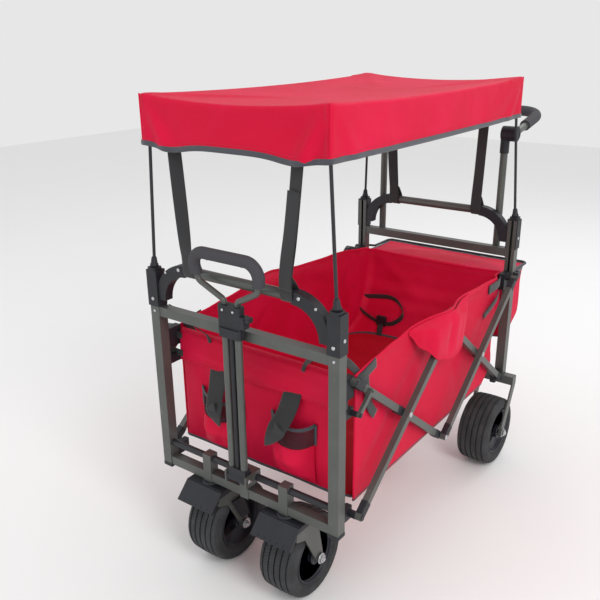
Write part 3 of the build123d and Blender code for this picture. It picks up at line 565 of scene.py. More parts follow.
def thicken(piece: bpy.types.Object, thickness: float, levels: int = 1) -> bpy.types.Object:
    """Smooth a single-layer sheet by subdivision and give it thickness."""
    if levels:
        smoother = piece.modifiers.new("smooth", "SUBSURF")
        smoother.levels = smoother.render_levels = levels
    solid = piece.modifiers.new("cloth", "SOLIDIFY")
    solid.thickness = thickness
    solid.offset = 0.0
    return settle(piece)


def grid(name: str, surface: Surface, columns: int, rows: int, ring: bool = False) -> bpy.types.Object:
    """A single-layer sheet from a surface of two shares, each from nought to one.

    Args:
        name: the piece's name.
        surface: place for (share across, share down).
        columns: faces across.
        rows: faces down.
        ring: whether the last column joins the first.

    Returns:
        The sheet.
    """
    wide = columns if ring else columns + 1
    points = [surface(c / columns, r / rows) for r in range(rows + 1) for c in range(wide)]
    faces = []
    for r in range(rows):
        for c in range(columns):
            a, b = r * wide + c, r * wide + (c + 1) % wide
            faces.append((a, b, b + wide, a + wide))
    return as_object(name, points, faces)


def smooth_path(points: Sequence[Sequence[float]], steps: int, ring: bool = False) -> list[Vector]:
    """A smooth line through points.

    Args:
        points: the places it goes through.
        steps: pieces between two of them.
        ring: whether it closes on itself.

    Returns:
        The line's points.
    """
    p = [Vector(q) for q in points]
    count = len(p)
    spans = count if ring else count - 1
    line = []
    for i in range(spans):
        if ring:
            a, b, c, d = p[i - 1], p[i], p[(i + 1) % count], p[(i + 2) % count]
        else:
            a, b, c, d = p[max(i - 1, 0)], p[i], p[i + 1], p[min(i + 2, count - 1)]
        for k in range(steps):
            t = k / steps
            line.append(
                0.5 * (
                    2 * b + (c - a) * t + (2 * a - 5 * b + 4 * c - d) * t * t + (3 * b - a - 3 * c + d) * t**3
                )
            )
    if not ring:
        line.append(p[-1])
    return line


def ellipse(half_a: float, half_b: float, sides: int, power: float = 1.0) -> list[tuple[float, float]]:
    """A round or, with a power under one, a squarish section."""
    section = []
    for i in range(sides):
        c, s = math.cos(math.tau * i / sides), math.sin(math.tau * i / sides)
        section.append(
            (half_a * math.copysign(abs(c) ** power, c), half_b * math.copysign(abs(s) ** power, s))
        )
    return section


def sweep(
    name: str,
    line: Sequence[Vector],
    section: Sequence[tuple[float, float]],
    across: Vector | Sequence[Vector] | None = None,
    ring: bool = False,
) -> bpy.types.Object:
    """Sweep a closed section along a line.

    Args:
        name: the piece's name.
        line: points of the line.
        section: (a, b) corners, where a is measured along across.
        across: one direction, or one for each point; None turns as little as it can.
        ring: whether the line closes on itself.

    Returns:
        The swept piece, with capped ends.
    """
    count, sides = len(line), len(section)
    points: list[Vector] = []
    carried: Vector | None = None
    for i, here in enumerate(line):
        before = line[i - 1] if ring or i else here
        after = line[(i + 1) % count] if ring or i < count - 1 else here
        along = (after - before).normalized()
        if across is None:
            guide = carried or (Vector((0, 0, 1)) if abs(along.z) < 0.9 else Vector((1, 0, 0)))
        else:
            guide = across if isinstance(across, Vector) else across[i]
        a = (guide - along * guide.dot(along)).normalized()
        carried = a
        b = along.cross(a)
        points += [here + a * u + b * v for u, v in section]
    faces: list[Sequence[int]] = []
    for i in range(count if ring else count - 1):
        j = (i + 1) % count
        for k in range(sides):
            n = (k + 1) % sides
            faces.append((i * sides + k, i * sides + n, j * sides + n, j * sides + k))
    if not ring:
        faces.append(tuple(reversed(range(sides))))
        faces.append(tuple((count - 1) * sides + k for k in range(sides)))
    return as_object(name, points, faces)


def join(name: str, pieces: Sequence[bpy.types.Object]) -> bpy.types.Object:
    """Join meshes into one piece."""
    shape = bmesh.new()
    for piece in pieces:
        shape.from_mesh(piece.data)
    mesh = bpy.data.meshes.new(name)
    shape.to_mesh(mesh)
    shape.free()
    for piece in pieces:
        old = piece.data
        bpy.data.objects.remove(piece)
        bpy.data.meshes.remove(old)
    made = bpy.data.objects.new(name, mesh)
    bpy.context.scene.collection.objects.link(made)
    return made


def turned(
    name: str, profile: Sequence[tuple[float, float]], place: Vector, axis: Vector, sides: int = 24,
) -> bpy.types.Object:
    """Turn a (height, radius) profile about an axis through a place."""
    quat = Vector((0, 0, 1)).rotation_difference(axis.normalized())
    points, faces = [], []
    for height, radius in profile:
        for k in range(sides):
            t = math.tau * k / sides
            points.append(place + quat @ Vector((radius * math.cos(t), radius * math.sin(t), height)))
    for r in range(len(profile) - 1):
        for k in range(sides):
            n = (k + 1) % sides
            faces.append((r * sides + k, r * sides + n, (r + 1) * sides + n, (r + 1) * sides + k))
    faces.append(tuple(reversed(range(sides))))
    faces.append(tuple((len(profile) - 1) * sides + k for k in range(sides)))
    return as_object(name, points, faces)


def soft_block(
    name: str, low: Sequence[float], high: Sequence[float], radius: float, matrix: Matrix | None = None,
) -> bpy.types.Object:
    """A moulded block with rounded edges.

    Args:
        name: the piece's name.
        low: lowest corner before the matrix.
        high: highest corner before the matrix.
        radius: edge radius.
        matrix: where the block goes.

    Returns:
        The block.
    """
    size = [h - l for l, h in zip(low, high)]
    middle = [(h + l) / 2 for l, h in zip(low, high)]
    shape = bmesh.new()
    bmesh.ops.create_cube(shape, size=1.0)
    bmesh.ops.scale(shape, vec=size, verts=shape.verts)
    bmesh.ops.translate(shape, vec=middle, verts=shape.verts)
    bmesh.ops.bevel(shape, geom=shape.edges[:], offset=radius, segments=3, profile=0.6, affect="EDGES")
    if matrix:
        bmesh.ops.transform(shape, matrix=matrix, verts=shape.verts)
    mesh = bpy.data.meshes.new(name)
    shape.to_mesh(mesh)
    shape.free()
    mesh.polygons.foreach_set("use_smooth", [True] * len(mesh.polygons))
    piece = bpy.data.objects.new(name, mesh)
    bpy.context.scene.collection.objects.link(piece)
    return piece


def stitches(
    name: str, line: Sequence[Vector], pitch: float = 0.0042, length: float = 0.0029, size: float = 0.00045,
) -> bpy.types.Object:
    """A row of lockstitches along a line."""
    points, faces = [], []
    travelled, due = 0.0, 0.0
    for start, end in zip(line, line[1:]):
        span = (end - start).length
        if span < 1e-9:
            continue
        along = (end - start) / span
        side = along.orthogonal().normalized()
        other = along.cross(side)
        while due <= travelled + span:
            middle = start + along * (due - travelled)
            base = len(points)
            points += [middle - along * length / 2, middle + along * length / 2]
            points += [middle + v * size for v in (side, other, -side, -other)]
            for k in range(4):
                n = (k + 1) % 4
                faces += [(base, base + 2 + n, base + 2 + k), (base + 1, base + 2 + k, base + 2 + n)]
            due += pitch
        travelled += span
    return as_object(name, points, faces)


def wave(x: float, y: float, z: float, size: float, seed: float = 0.0) -> float:
    """Smooth noise from about minus one to one, with lumps of a given size."""
    return noise.noise(Vector((x / size + seed, y / size - seed, z / size + 2 * seed)))


def ease(t: float) -> float:
    """Smooth step from nought to one."""
    t = min(max(t, 0.0), 1.0)
    return t * t * (3 - 2 * t)


def between(table: Sequence[tuple[float, float]], t: float) -> float:
    """Smooth value at t from a table of (place, value)."""
    if t <= table[0][0]:
        return table[0][1]
    for (a, u), (b, v) in zip(table, table[1:]):
        if t <= b:
            return u + (v - u) * ease((t - a) / (b - a))
    return table[-1][1]


def ridge(
    p: tuple[float, float], start: tuple[float, float], end: tuple[float, float], width: float,
) -> float:
    """Height from nought to one of a soft fold that runs between two places on a panel."""
    dx, dy = end[0] - start[0], end[1] - start[1]
    length = math.hypot(dx, dy)
    t = ((p[0] - start[0]) * dx + (p[1] - start[1]) * dy) / length**2
    off = abs((p[0] - start[0]) * dy - (p[1] - start[1]) * dx) / length
    fade = math.sin(math.pi * min(max(t, 0.0), 1.0)) ** 0.7
    return fade * math.exp(-((off / width) ** 2))


# ---------------------------------------------------------------- shared behaviour
class Fold:
    """The fold joint's name, and how far the front frame comes back when the wagon folds."""

    JOINT = "fold"
    TRAVEL = 0.477

    @classmethod
    def squash(cls, piece: bpy.types.Object, front_y: float, anchor_y: float) -> None:
        """Give a piece its own copy of its mesh."""
        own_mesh(piece)


def dress(piece: bpy.types.Object, finish: Finish, body: str) -> bpy.types.Object:
    """Give a piece its finish and the body that it moves with."""
    finish.put_on(piece)
    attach(piece, body)
    log.info("%s rides on %s in %s", piece.name, body, finish.name.lower())
    return piece


# ---------------------------------------------------------------- canopy
@dataclass
class Canopy:
    """The roof and its four skirts: one sheet stretched on the poles, bound at the hem."""

    half: float = 0.232
    front: float = -0.452
    rear: float = 0.431
    roof: float = 1.092
    hem: float = 0.993
    cloth: float = 0.0016
    edge_sag: float = 0.013
    side_sag: float = 0.009
    belly: float = 0.007
    tie: float = 0.150
    tie_pull: float = 0.009
    binding: float = 0.011
    columns: int = 40
    rows: int = 76
    drop: int = 9

    @classmethod
    def from_frame(cls) -> "Canopy":
        """Take the outer sizes from the CAD canopy."""
        low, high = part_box("canopy")
        return cls(half=high[0], front=low[1], rear=high[1], roof=high[2], hem=low[2])

    @property
    def middle(self) -> float:
        """Middle of the roof along the wagon."""
        return (self.front + self.rear) / 2

    @property
    def length(self) -> float:
        """Half the roof's length."""
        return (self.rear - self.front) / 2

    def roof_at(self, x: float, y: float) -> Vector:
        """Place on the sagging roof above a flat place."""
        ex = 1 - (x / self.half) ** 2
        ey = 1 - ((y - self.middle) / self.length) ** 2
        sag = self.edge_sag * ex * (1 - 0.35 * ey) + self.side_sag * ey * (
            1 - 0.35 * ex
        ) + self.belly * ex * ey
        lift = 0.0
        for sx in (-1, 1):
            for end, into in ((self.front, 1), (self.rear, -1)):
                start = (sx * self.half, end)
                lift += 0.0060 * ridge((x, y), start, (sx * 0.05, end + into * 0.26), 0.016)
        ripple = 0.0016 * wave(x, y, 0, 0.11, 3.0) * min(1.0, 3 * ex * ey)
        return Vector(
            (
                x * (1 - 0.012 * ey), self.middle + (y - self.middle) * (1 - 0.006 * ex),
                self.roof - sag + lift + ripple,
            )
        )

    def skirt_at(self, side: str, s: float, t: float) -> Vector:
        """Place on a skirt.

        Args:
            side: front, rear, left or right.
            s: along the edge, from minus one to one.
            t: down the skirt, from nought to one.

        Returns:
            The place.
        """
        ends = side in ("front", "rear")
        edge_y = self.front if side == "front" else self.rear
        if ends:
            top = self.roof_at(s * self.half, edge_y)
            foot = Vector((s * self.half, edge_y, self.hem))
            out = Vector((0, -1 if side == "front" else 1, 0))
            place = (s * self.half, self.roof + (self.hem - self.roof) * t)
            corner, tie = self.half, self.tie
        else:
            sx = 1 if side == "right" else -1
            y = self.middle + s * self.length
            top = self.roof_at(sx * self.half, y)
            foot = Vector((sx * self.half * (1 - 0.005 * (1 - s * s)), y, self.hem))
            out = Vector((sx, 0, 0))
            place = (s * self.length, self.roof + (self.hem - self.roof) * t)
            corner, tie = self.length, self.length - 0.17
        off = abs(abs(place[0]) - tie)
        pull = self.tie_pull * math.exp(-((off / 0.05) ** 2)) if ends else 0.003 * (1 - s * s)
        foot.z -= pull
        fold = 0.0
        for sign in (-1, 1):
            start = (sign * (corner - 0.004), self.roof - 0.006)
            depth = 1.0 if sign > 0 else 0.7
            if ends:
                fold += depth * 0.0150 * ridge(place, start, (sign * (tie + 0.004), self.hem - 0.012), 0.0125)
                fold -= depth * 0.0100 * ridge(place, start, (sign * (tie + 0.044), self.hem - 0.012), 0.013)
                fold -= depth * 0.0030 * ridge(place, start, (sign * (tie - 0.06), self.hem - 0.002), 0.018)
            else:
                fold += depth * 0.0080 * ridge(
                    place, start, (sign * (corner - 0.10), self.hem - 0.004), 0.014,
                )
                fold -= depth * 0.0060 * ridge(
                    place, start, (sign * (corner - 0.055), self.hem - 0.004), 0.012,
                )
                fold += depth * 0.0050 * ridge(place, start, (sign * (corner - 0.24), self.hem + 0.01), 0.020)
        calm = 1 - abs(s) ** 10
        slack = 0.0022 * wave(place[0], t * 0.05, 7.0, 0.065, 5.0) * calm * math.sin(
            math.pi * min(t + 0.12, 1.0)
        )
        bow = -0.003 * math.sin(math.pi * t) * calm
        return top.lerp(foot, t) + out * (fold * calm + slack + bow)

    def hem_line(self) -> list[Vector]:
        """The hem, once round."""
        line: list[Vector] = []
        for side, count, turn in (("front", 46, 1), ("right", 84, 1), ("rear", 46, -1), ("left", 84, -1)):
            for i in range(count):
                line.append(self.skirt_at(side, turn * (2 * i / count - 1), 1.0))
        return line

    def sheet(self) -> bpy.types.Object:
        """Roof and skirts in one sheet."""
        shape = bmesh.new()

        def panel(at: Surface, across: int, down: int) -> None:
            """Add one panel of faces."""
            made = [
                [shape.verts.new(at(c / across, r / down)) for c in range(across + 1)]
                for r in range(down + 1)
            ]
            for r in range(down):
                for c in range(across):
                    shape.faces.new((made[r][c], made[r][c + 1], made[r + 1][c + 1], made[r + 1][c]))

        panel(
            lambda u, v: self.roof_at((2 * u - 1) * self.half, self.front + 2 * v * self.length),
            self.columns,
            self.rows,
        )
        for side in ("front", "rear"):
            panel(lambda u, v, side=side: self.skirt_at(side, 2 * u - 1, v), self.columns, self.drop)
        for side in ("left", "right"):
            panel(lambda u, v, side=side: self.skirt_at(side, 2 * u - 1, v), self.rows, self.drop)
        bmesh.ops.remove_doubles(shape, verts=shape.verts, dist=0.0006)
        bmesh.ops.recalc_face_normals(shape, faces=shape.faces)
        mesh = bpy.data.meshes.new("canopy_cloth")
        shape.to_mesh(mesh)
        shape.free()
        mesh.polygons.foreach_set("use_smooth", [True] * len(mesh.polygons))
        piece = bpy.data.objects.new("canopy_cloth", mesh)
        bpy.context.scene.collection.objects.link(piece)
        return thicken(piece, self.cloth)

    def build(self) -> None:
        """Make the sheet, its hem binding, corner seams and stitches."""
        cloth = self.sheet()
        cloth = dress(cloth, Finish.CLOTH, "rear_frame")
        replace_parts(cloth, "canopy")
        line = self.hem_line()
        section = ellipse(self.binding / 2, 0.0019, 10, 0.7)
        raised = [p + Vector((0, 0, self.binding * 0.32)) for p in line]
        binding = dress(sweep("canopy_hem_binding", raised, section, UP, True), Finish.BINDING, "rear_frame")
        above = [p + Vector((0, 0, self.binding + 0.0035)) for p in line]
        outer = [Vector((p.x * 1.0055, p.y + 0.0012 * (1 if p.y > self.middle else -1), p.z)) for p in above]
        thread = dress(stitches("canopy_hem_stitches", outer), Finish.RED_THREAD, "rear_frame")
        seams, dots = [], []
        for sx in (-1, 1):
            for side in ("front", "rear"):
                ends = [self.skirt_at(side, sx, t / 12) for t in range(12)]
                edge = self.front if side == "front" else self.rear
                outward = Vector((sx * 0.0004, math.copysign(0.0004, edge), 0))
                seams.append(sweep("seam", [p * 1.0 - outward * 4 for p in ends], ellipse(0.0017, 0.0017, 8)))
                for away in (0.008, 0.012):
                    row = [self.skirt_at(side, sx * (1 - away / self.half), t / 14) for t in range(14)]
                    dots.append(
                        stitches("dots", [p + Vector((0, math.copysign(0.0013, edge), 0)) for p in row])
                    )
        seam = dress(join("canopy_corner_seams", seams), Finish.CLOTH, "rear_frame")
        dot = dress(join("canopy_corner_stitches", dots), Finish.RED_THREAD, "rear_frame")
        for piece in (cloth, binding, thread, seam, dot):
            Fold.squash(piece, self.front, self.rear)


@dataclass
class CanopyStraps:
    """Webbing from the top bars up to the inside of the skirts, looped round each bar and sewn."""

    width: float = 0.030
    thick: float = 0.0018
    loop: float = 0.0128
    bar_z: float = 0.733
    bar_y: float = 0.437
    top_z: float = 1.074

    def strap(
        self, name: str, side: int, foot_x: float, hem_x: float, run_y: float, twist: float,
    ) -> bpy.types.Object:
        """One strap.

        Args:
            name: the piece's name.
            side: minus one for the front bar, one for the rear bar.
            foot_x: place on the bar.
            hem_x: place at the hem.
            run_y: where the strap runs at the hem.
            twist: most turn about its length, in degrees.

        Returns:
            The strap.
        """
        y, z, r = side * self.bar_y, self.bar_z, self.loop
        top_x = hem_x + 0.18 * (hem_x - foot_x)
        places = [
            (foot_x, y - 0.72 * r, z + 3.1 * r),
            (foot_x, y + 0.2 * r, z + 1.9 * r),
            (foot_x, y + r, z + 0.5 * r),
            (foot_x, y + 0.8 * r, z - 0.6 * r),
            (foot_x, y, z - r),
            (foot_x, y - 0.8 * r, z - 0.6 * r),
            (foot_x, y - r - 0.0006, z + 0.4 * r),
            (foot_x + 0.06 * (hem_x - foot_x), y - r - 0.0008, z + 3.0 * r),
            (foot_x + 0.45 * (hem_x - foot_x), (y - r) * 0.55 + run_y * 0.45, z + 0.45 * (0.99 - z)),
            (hem_x, run_y, 0.992),
            (top_x, run_y + 0.0015, self.top_z),
        ]
        line = smooth_path(places, 7)
        start = 49
        turns = []
        for i in range(len(line)):
            share = min(max((i - start) / (len(line) - 1 - start), 0.0), 1.0)
            angle = math.radians(twist) * math.sin(math.pi * share)
            turns.append(Vector((math.cos(angle), math.sin(angle), 0)))
        return sweep(name, line, ellipse(self.width / 2, self.thick / 2, 12, 0.35), turns)

    def build(self) -> None:
        """Make the four straps and the doubled layer on the front right one."""
        front_left = self.strap("canopy_strap_front_left", -1, -0.126, -0.160, -0.4340, 24)
        front_right = self.strap("canopy_strap_front_right", -1, 0.130, 0.150, -0.4340, -6)
        rear_left = self.strap("canopy_strap_rear_left", 1, -0.130, -0.140, 0.4130, 8)
        rear_right = self.strap("canopy_strap_rear_right", 1, 0.130, 0.142, 0.4130, -8)
        for piece in (front_left, front_right):
            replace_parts(dress(piece, Finish.WEBBING, "front_frame"), "front_canopy_straps")
        for piece in (rear_left, rear_right):
            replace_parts(dress(piece, Finish.WEBBING, "rear_frame"), "rear_canopy_straps")
        y = -self.bar_y - self.loop - 0.0032
        places = [
            (0.1302, y, 0.748), (0.1314, y, 0.776), (0.1345, y + 0.0017, 0.810), (0.139, y + 0.0052, 0.849),
        ]
        places += [(0.1428, y + 0.0082, 0.890), (0.1466, y + 0.0108, 0.935)]
        overlap = sweep(
            "canopy_strap_overlap", smooth_path(places, 5), ellipse(0.0156, 0.0011, 12, 0.35),
            Vector((1, -0.06, 0)),
        )
        dress(overlap, Finish.WEBBING, "front_frame")
        rows = []
        for x, side in ((-0.126, -1), (0.130, -1), (-0.130, 1), (0.130, 1)):
            yy = side * self.bar_y - self.loop - 0.0022
            for dz in (0.026, 0.036):
                rows.append(
                    stitches(
                        "bar_tack",
                        [Vector((x - 0.012, yy, self.bar_z + dz)), Vector((x + 0.012, yy, self.bar_z + dz))],
                        0.0024, 0.0018,
                    )
                )
        front = [r for r in rows[:4]]
        rear = [r for r in rows[4:]]
        dress(join("front_strap_tacks", front), Finish.BLACK_THREAD, "front_frame")
        dress(join("rear_strap_tacks", rear), Finish.BLACK_THREAD, "rear_frame")


# ---------------------------------------------------------------- cloth basket
@dataclass
class Basket:
    """Side walls and rear wall in one sheet, the covers over the middle pivots, and the padded floor."""

    front: float = -0.376
    foot: float = 0.2748
    wall: float = 0.2408
    neck: float = 0.0185
    corner: float = 0.026
    cloth: float = 0.0030
    floor_top: float = 0.290
    side_columns: int = 64
    corner_columns: int = 8
    rear_columns: int = 38
    rows: int = 26
    rear_run: tuple[tuple[float, float], ...] = (
        (0.274, 0.312),
        (0.300, 0.348),
        (0.327, 0.374),
        (0.360, 0.397),
        (0.381, 0.408),
        (0.430, 0.430),
        (0.480, 0.444),
        (0.520, 0.4475),
        (0.620, 0.4475),
    )
    rim_run: tuple[tuple[float, float], ...] = (
        (-0.376, 0.567),
        (-0.300, 0.576),
        (-0.217, 0.584),
        (-0.123, 0.593),
        (-0.040, 0.596),
        (0.095, 0.588),
        (0.247, 0.581),
        (0.382, 0.572),
        (0.440, 0.564),
    )

    @property
    def anchor(self) -> float:
        """The rear wall's place along the wagon at the top of its run."""
        return self.rear_run[-1][1]

    def side_x(self, y: float) -> float:
        """Distance of a side wall from the middle; it necks in to pass the rear posts."""
        return self.wall - self.neck * ease((y - 0.338) / 0.044)

    def plan(self, share: float, z: float) -> tuple[float, float, float, float]:
        """Place round the wall at a height.

        Args:
            share: from the front left end, round the rear, to the front right end.
            z: height.

        Returns:
            x, y and the outward direction's x and y.
        """
        total = 2 * self.side_columns + 2 * self.corner_columns + self.rear_columns
        k = share * total
        sign = -1.0
        if k > total / 2:
            k, sign = total - k, 1.0
        rear = between(self.rear_run, z)
        turn_y = rear - self.corner
        if k <= self.side_columns:
            y = self.front + (turn_y - self.front) * k / self.side_columns
            return sign * self.side_x(y), y, sign, 0.0
        inner = self.side_x(turn_y) - self.corner
        k -= self.side_columns
        if k <= self.corner_columns:
            angle = math.pi / 2 * k / self.corner_columns
            return (
                sign * (inner + self.corner * math.cos(angle)),
                turn_y + self.corner * math.sin(angle),
                sign * math.cos(angle),
                math.sin(angle),
            )
        k -= self.corner_columns
        return sign * inner * (1 - 2 * k / self.rear_columns), rear, 0.0, 1.0

    def rim(self, x: float, y: float) -> float:
        """Height of the rim at a place."""
        if y > 0.43:
            return 0.5595 - 0.004 * (1 - (x / 0.2) ** 2)
        return between(self.rim_run, y)

    def wall_at(self, share: float, t: float) -> Vector:
        """Place on the wall; t runs from the floor to the rim."""
        x, y, nx, ny = self.plan(share, 0.5)
        z = self.foot + (self.rim(x, y) - self.foot) * t
        x, y, nx, ny = self.plan(share, z)
        slack = 0.0
        if abs(nx) > 0.9:
            rise = math.sin(math.pi * min(max(t, 0.0), 1.0))
            along = math.sin(math.pi * min(max((y - self.front) / 0.74, 0.0), 1.0)) ** 0.5
            slack -= 0.0030 * rise * along
            slack += 0.0034 * wave(nx * 2, y, z, 0.12, 2.0) * rise * along - 0.0016 * along
            for start, end, size, width in (
                ((0.0, 0.59), (-0.34, 0.31), -0.0050, 0.020),
                ((0.0, 0.59), (0.28, 0.31), -0.0050, 0.020),
                ((-0.05, 0.58), (-0.18, 0.30), 0.0040, 0.022),
                ((0.05, 0.58), (0.13, 0.30), -0.0036, 0.018),
                ((-0.37, 0.55), (-0.10, 0.33), -0.0030, 0.016),
                ((0.36, 0.55), (0.17, 0.40), -0.0034, 0.016),
                ((-0.37, 0.30), (-0.20, 0.42), -0.0030, 0.018),
                ((0.08, 0.575), (0.33, 0.515), -0.0040, 0.018),
            ):
                slack += size * ridge((y, z), start, end, width)
            slack = min(slack, 0.0018)
            flare = math.exp(-((y / 0.075) ** 2)) * ease((z - 0.578) / 0.016)
            slack += 0.027 * flare
        else:
            slack -= 0.005 * math.sin(math.pi * t) * (0.6 + 0.8 * wave(x, y, z, 0.13, 6.0)) * abs(ny)
            slack -= 0.004 * ridge((x, z), (-0.20, 0.55), (0.02, 0.40), 0.02) * abs(ny)
            slack -= 0.004 * ridge((x, z), (0.20, 0.55), (0.05, 0.38), 0.02) * abs(ny)
        return Vector((x + nx * slack, y + ny * slack, z))

    def build_walls(self) -> None:
        """Make the wall sheet with its rolled rim, stitches and lower welt."""
        columns = 2 * self.side_columns + 2 * self.corner_columns + self.rear_columns
        cloth = thicken(grid("basket_walls", lambda u, v: self.wall_at(u, v), columns, self.rows), self.cloth)
        dress(cloth, Finish.CLOTH, "rear_frame")
        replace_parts(cloth, "basket_sides", "basket_rear_wall")
        rim = [self.wall_at(i / columns, 1.0) for i in range(columns + 1)]
        welt = [self.wall_at(i / columns, 0.012) for i in range(columns + 1)]
        hem = sweep("basket_rim_hem", rim, ellipse(0.0042, 0.0027, 10), UP)
        foot = sweep("basket_foot_welt", welt, ellipse(0.0026, 0.0024, 8), UP)
        rows = []
        for t in (0.955, 0.942):
            inside, outside = [], []
            for i in range(columns + 1):
                p = self.wall_at(i / columns, t)
                _, _, nx, ny = self.plan(i / columns, p.z)
                out = Vector((nx, ny, 0)) * (self.cloth / 2 + 0.0002)
                inside.append(p - out)
                outside.append(p + out)
            rows += [stitches("row", inside), stitches("row", outside)]
        dress(hem, Finish.CLOTH, "rear_frame")
        dress(foot, Finish.BINDING, "rear_frame")
        thread = dress(join("basket_rim_stitches", rows), Finish.RED_THREAD, "rear_frame")
        for piece in (cloth, hem, foot, thread):
            Fold.squash(piece, self.front, self.anchor)

    def cover_at(self, sign: int, u: float, v: float) -> Vector:
        """Place on the cover over a middle pivot; u runs along the wagon and v down."""
        y = -0.158 + 0.306 * u
        top = self.rim(0.24, y) + 0.0005
        reach = between(
            (
                (-0.158, 0.0), (-0.122, 0.48), (-0.085, 0.97), (0.03, 1.0), (0.085, 0.66), (0.115, 0.34),
                (0.148, 0.0),
            ),
            y,
        )
        low = between(
            (
                (-0.158, 0.583), (-0.125, 0.541), (-0.07, 0.499), (0.0, 0.482), (0.06, 0.493), (0.11, 0.535),
                (0.148, 0.580),
            ),
            y,
        )
        z = top + (low - top) * v
        flare = 0.027 * math.exp(-((y / 0.075) ** 2))
        swell = between(((0.0, 0.0), (0.22, 0.92), (0.5, 1.0), (1.0, 0.90)), v)
        dimple = 0.008 * ridge((y, z), (-0.005, top), (-0.03, low), 0.014) + 0.006 * ridge(
            (y, z), (0.05, top), (0.03, low), 0.014,
        )
        x = self.wall + 0.0022 + flare * (1 - swell) + 0.0405 * reach * swell - dimple
        x += 0.0016 * wave(y, z, sign, 0.05, 8.0) * reach
        return Vector((sign * min(x, 0.2885), y, z))

    def build_covers(self) -> None:
        """Make the two pivot covers, which hang from the rim outside the arms."""
        for sign, side in ((-1, "left"), (1, "right")):
            cover = thicken(
                grid(f"pivot_cover_{side}", lambda u, v, s=sign: self.cover_at(s, u, v), 30, 12), 0.0018,
            )
            dress(cover, Finish.CLOTH, "rear_frame")
            edge = [self.cover_at(sign, 0.0, v / 10) for v in range(11)]
            edge += [self.cover_at(sign, u / 26, 1.0) for u in range(1, 27)]
            edge += [self.cover_at(sign, 1.0, 1 - v / 10) for v in range(1, 11)]
            hem = dress(
                sweep(f"pivot_cover_hem_{side}", edge, ellipse(0.0016, 0.0024, 8), Vector((sign, 0, 0))),
                Finish.CLOTH, "rear_frame",
            )
            row = [
                self.cover_at(sign, 0.02 + 0.96 * u / 30, 0.94) + Vector((sign * 0.0012, 0, 0))
                for u in range(31)
            ]
            thread = dress(stitches(f"pivot_cover_stitches_{side}", row), Finish.RED_THREAD, "rear_frame")
            for piece in (cover, hem, thread):
                Fold.squash(piece, self.front, self.anchor)

    def floor_at(self, u: float, v: float, top: bool) -> Vector:
        """Place on one face of the floor pad."""
        y = -0.372 + v * 0.680
        x = (2 * u - 1) * (0.2345 - 0.012 * ease((y - 0.27) / 0.05))
        edge = (1 - abs(2 * u - 1) ** 7) * (1 - abs(2 * v - 1) ** 22)
        panels = abs(math.sin(math.pi * 3 * v))
        puff = 0.0085 * edge**0.6 * min(1.0, 0.25 + 1.2 * panels**0.5)
        z = 0.2795 + puff + 0.0006 * wave(x, y, 0, 0.07, 4.0) * edge if top else 0.2768
        return Vector((x, y, z))

    def build_floor(self) -> None:
        """Make the padded floor, its puffed top, binding and fold lines."""
        top = grid("floor_top", lambda u, v: self.floor_at(u, v, True), 34, 48)
        foot = grid("floor_foot", lambda u, v: self.floor_at(1 - u, v, False), 34, 48)
        pad = join("floor_pad", [top, foot])
        shape = bmesh.new()
        shape.from_mesh(pad.data)
        rims = [e for e in shape.edges if e.is_boundary]
        bmesh.ops.bridge_loops(shape, edges=rims)
        bmesh.ops.recalc_face_normals(shape, faces=shape.faces)
        shape.to_mesh(pad.data)
        shape.free()
        pad.data.polygons.foreach_set("use_smooth", [True] * len(pad.data.polygons))
        self.puff(pad)
        # The pad wears the darker copy of the red cloth, painted shade of the basket's inside.
        dress(pad, Finish.LINING, "rear_frame")
        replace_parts(pad, "basket_floor")
        rows = []
        for v in (1 / 3, 2 / 3):
            for off in (-0.004, 0.004):
                rows.append(
                    stitches(
                        "row",
                        [
                            self.floor_at(0.03 + 0.94 * i / 30, v + off, True) + Vector((0, 0, 0.0006))
                            for i in range(31)
                        ],
                    )
                )
        thread = dress(join("floor_channel_stitches", rows), Finish.RED_THREAD, "rear_frame")
        right = [
            (0.0, -0.371), (0.110, -0.371), (0.205, -0.371), (0.226, -0.3695), (0.2325, -0.364),
            (0.2335, -0.340), (0.2335, -0.16),
        ]
        right += [
            (0.2335, 0.02), (0.2335, 0.16), (0.2325, 0.25), (0.226, 0.288), (0.219, 0.302), (0.205, 0.307),
            (0.110, 0.307), (0.0, 0.307),
        ]
        around = right + [(-x, y) for x, y in reversed(right[1:-1])]
        edge = [Vector((x, y, 0.2795)) for x, y in around]
        line = smooth_path(edge, 6, True)
        binding = dress(
            sweep("floor_binding", line, ellipse(0.0030, 0.0022, 8), UP, True), Finish.BINDING, "rear_frame",
        )
        for piece in (pad, thread, binding):
            Fold.squash(piece, self.front, self.anchor)

    @staticmethod
    def puff(pad: bpy.types.Object, cap: float = 0.004) -> None:
        """Swell a pad by a short cloth simulation, held to a small movement, and apply it."""
        start = [v.co.copy() for v in pad.data.vertices]
        cloth = pad.modifiers.new("puff", "CLOTH")
        cloth.settings.use_pressure = True
        cloth.settings.uniform_pressure_force = 4.0
        cloth.settings.effector_weights.gravity = 0.0
        scene = bpy.context.scene
        for number in range(1, 16):
            scene.frame_set(number)
        graph = bpy.context.evaluated_depsgraph_get()
        shaped = bpy.data.meshes.new_from_object(pad.evaluated_get(graph))
        scene.frame_set(1)
        pad.modifiers.clear()
        pad.data = shaped
        for vertex, home in zip(pad.data.vertices, start):
            move = vertex.co - home
            if move.length > cap:
                vertex.co = home + move * (cap / move.length)
        pad.data.update()

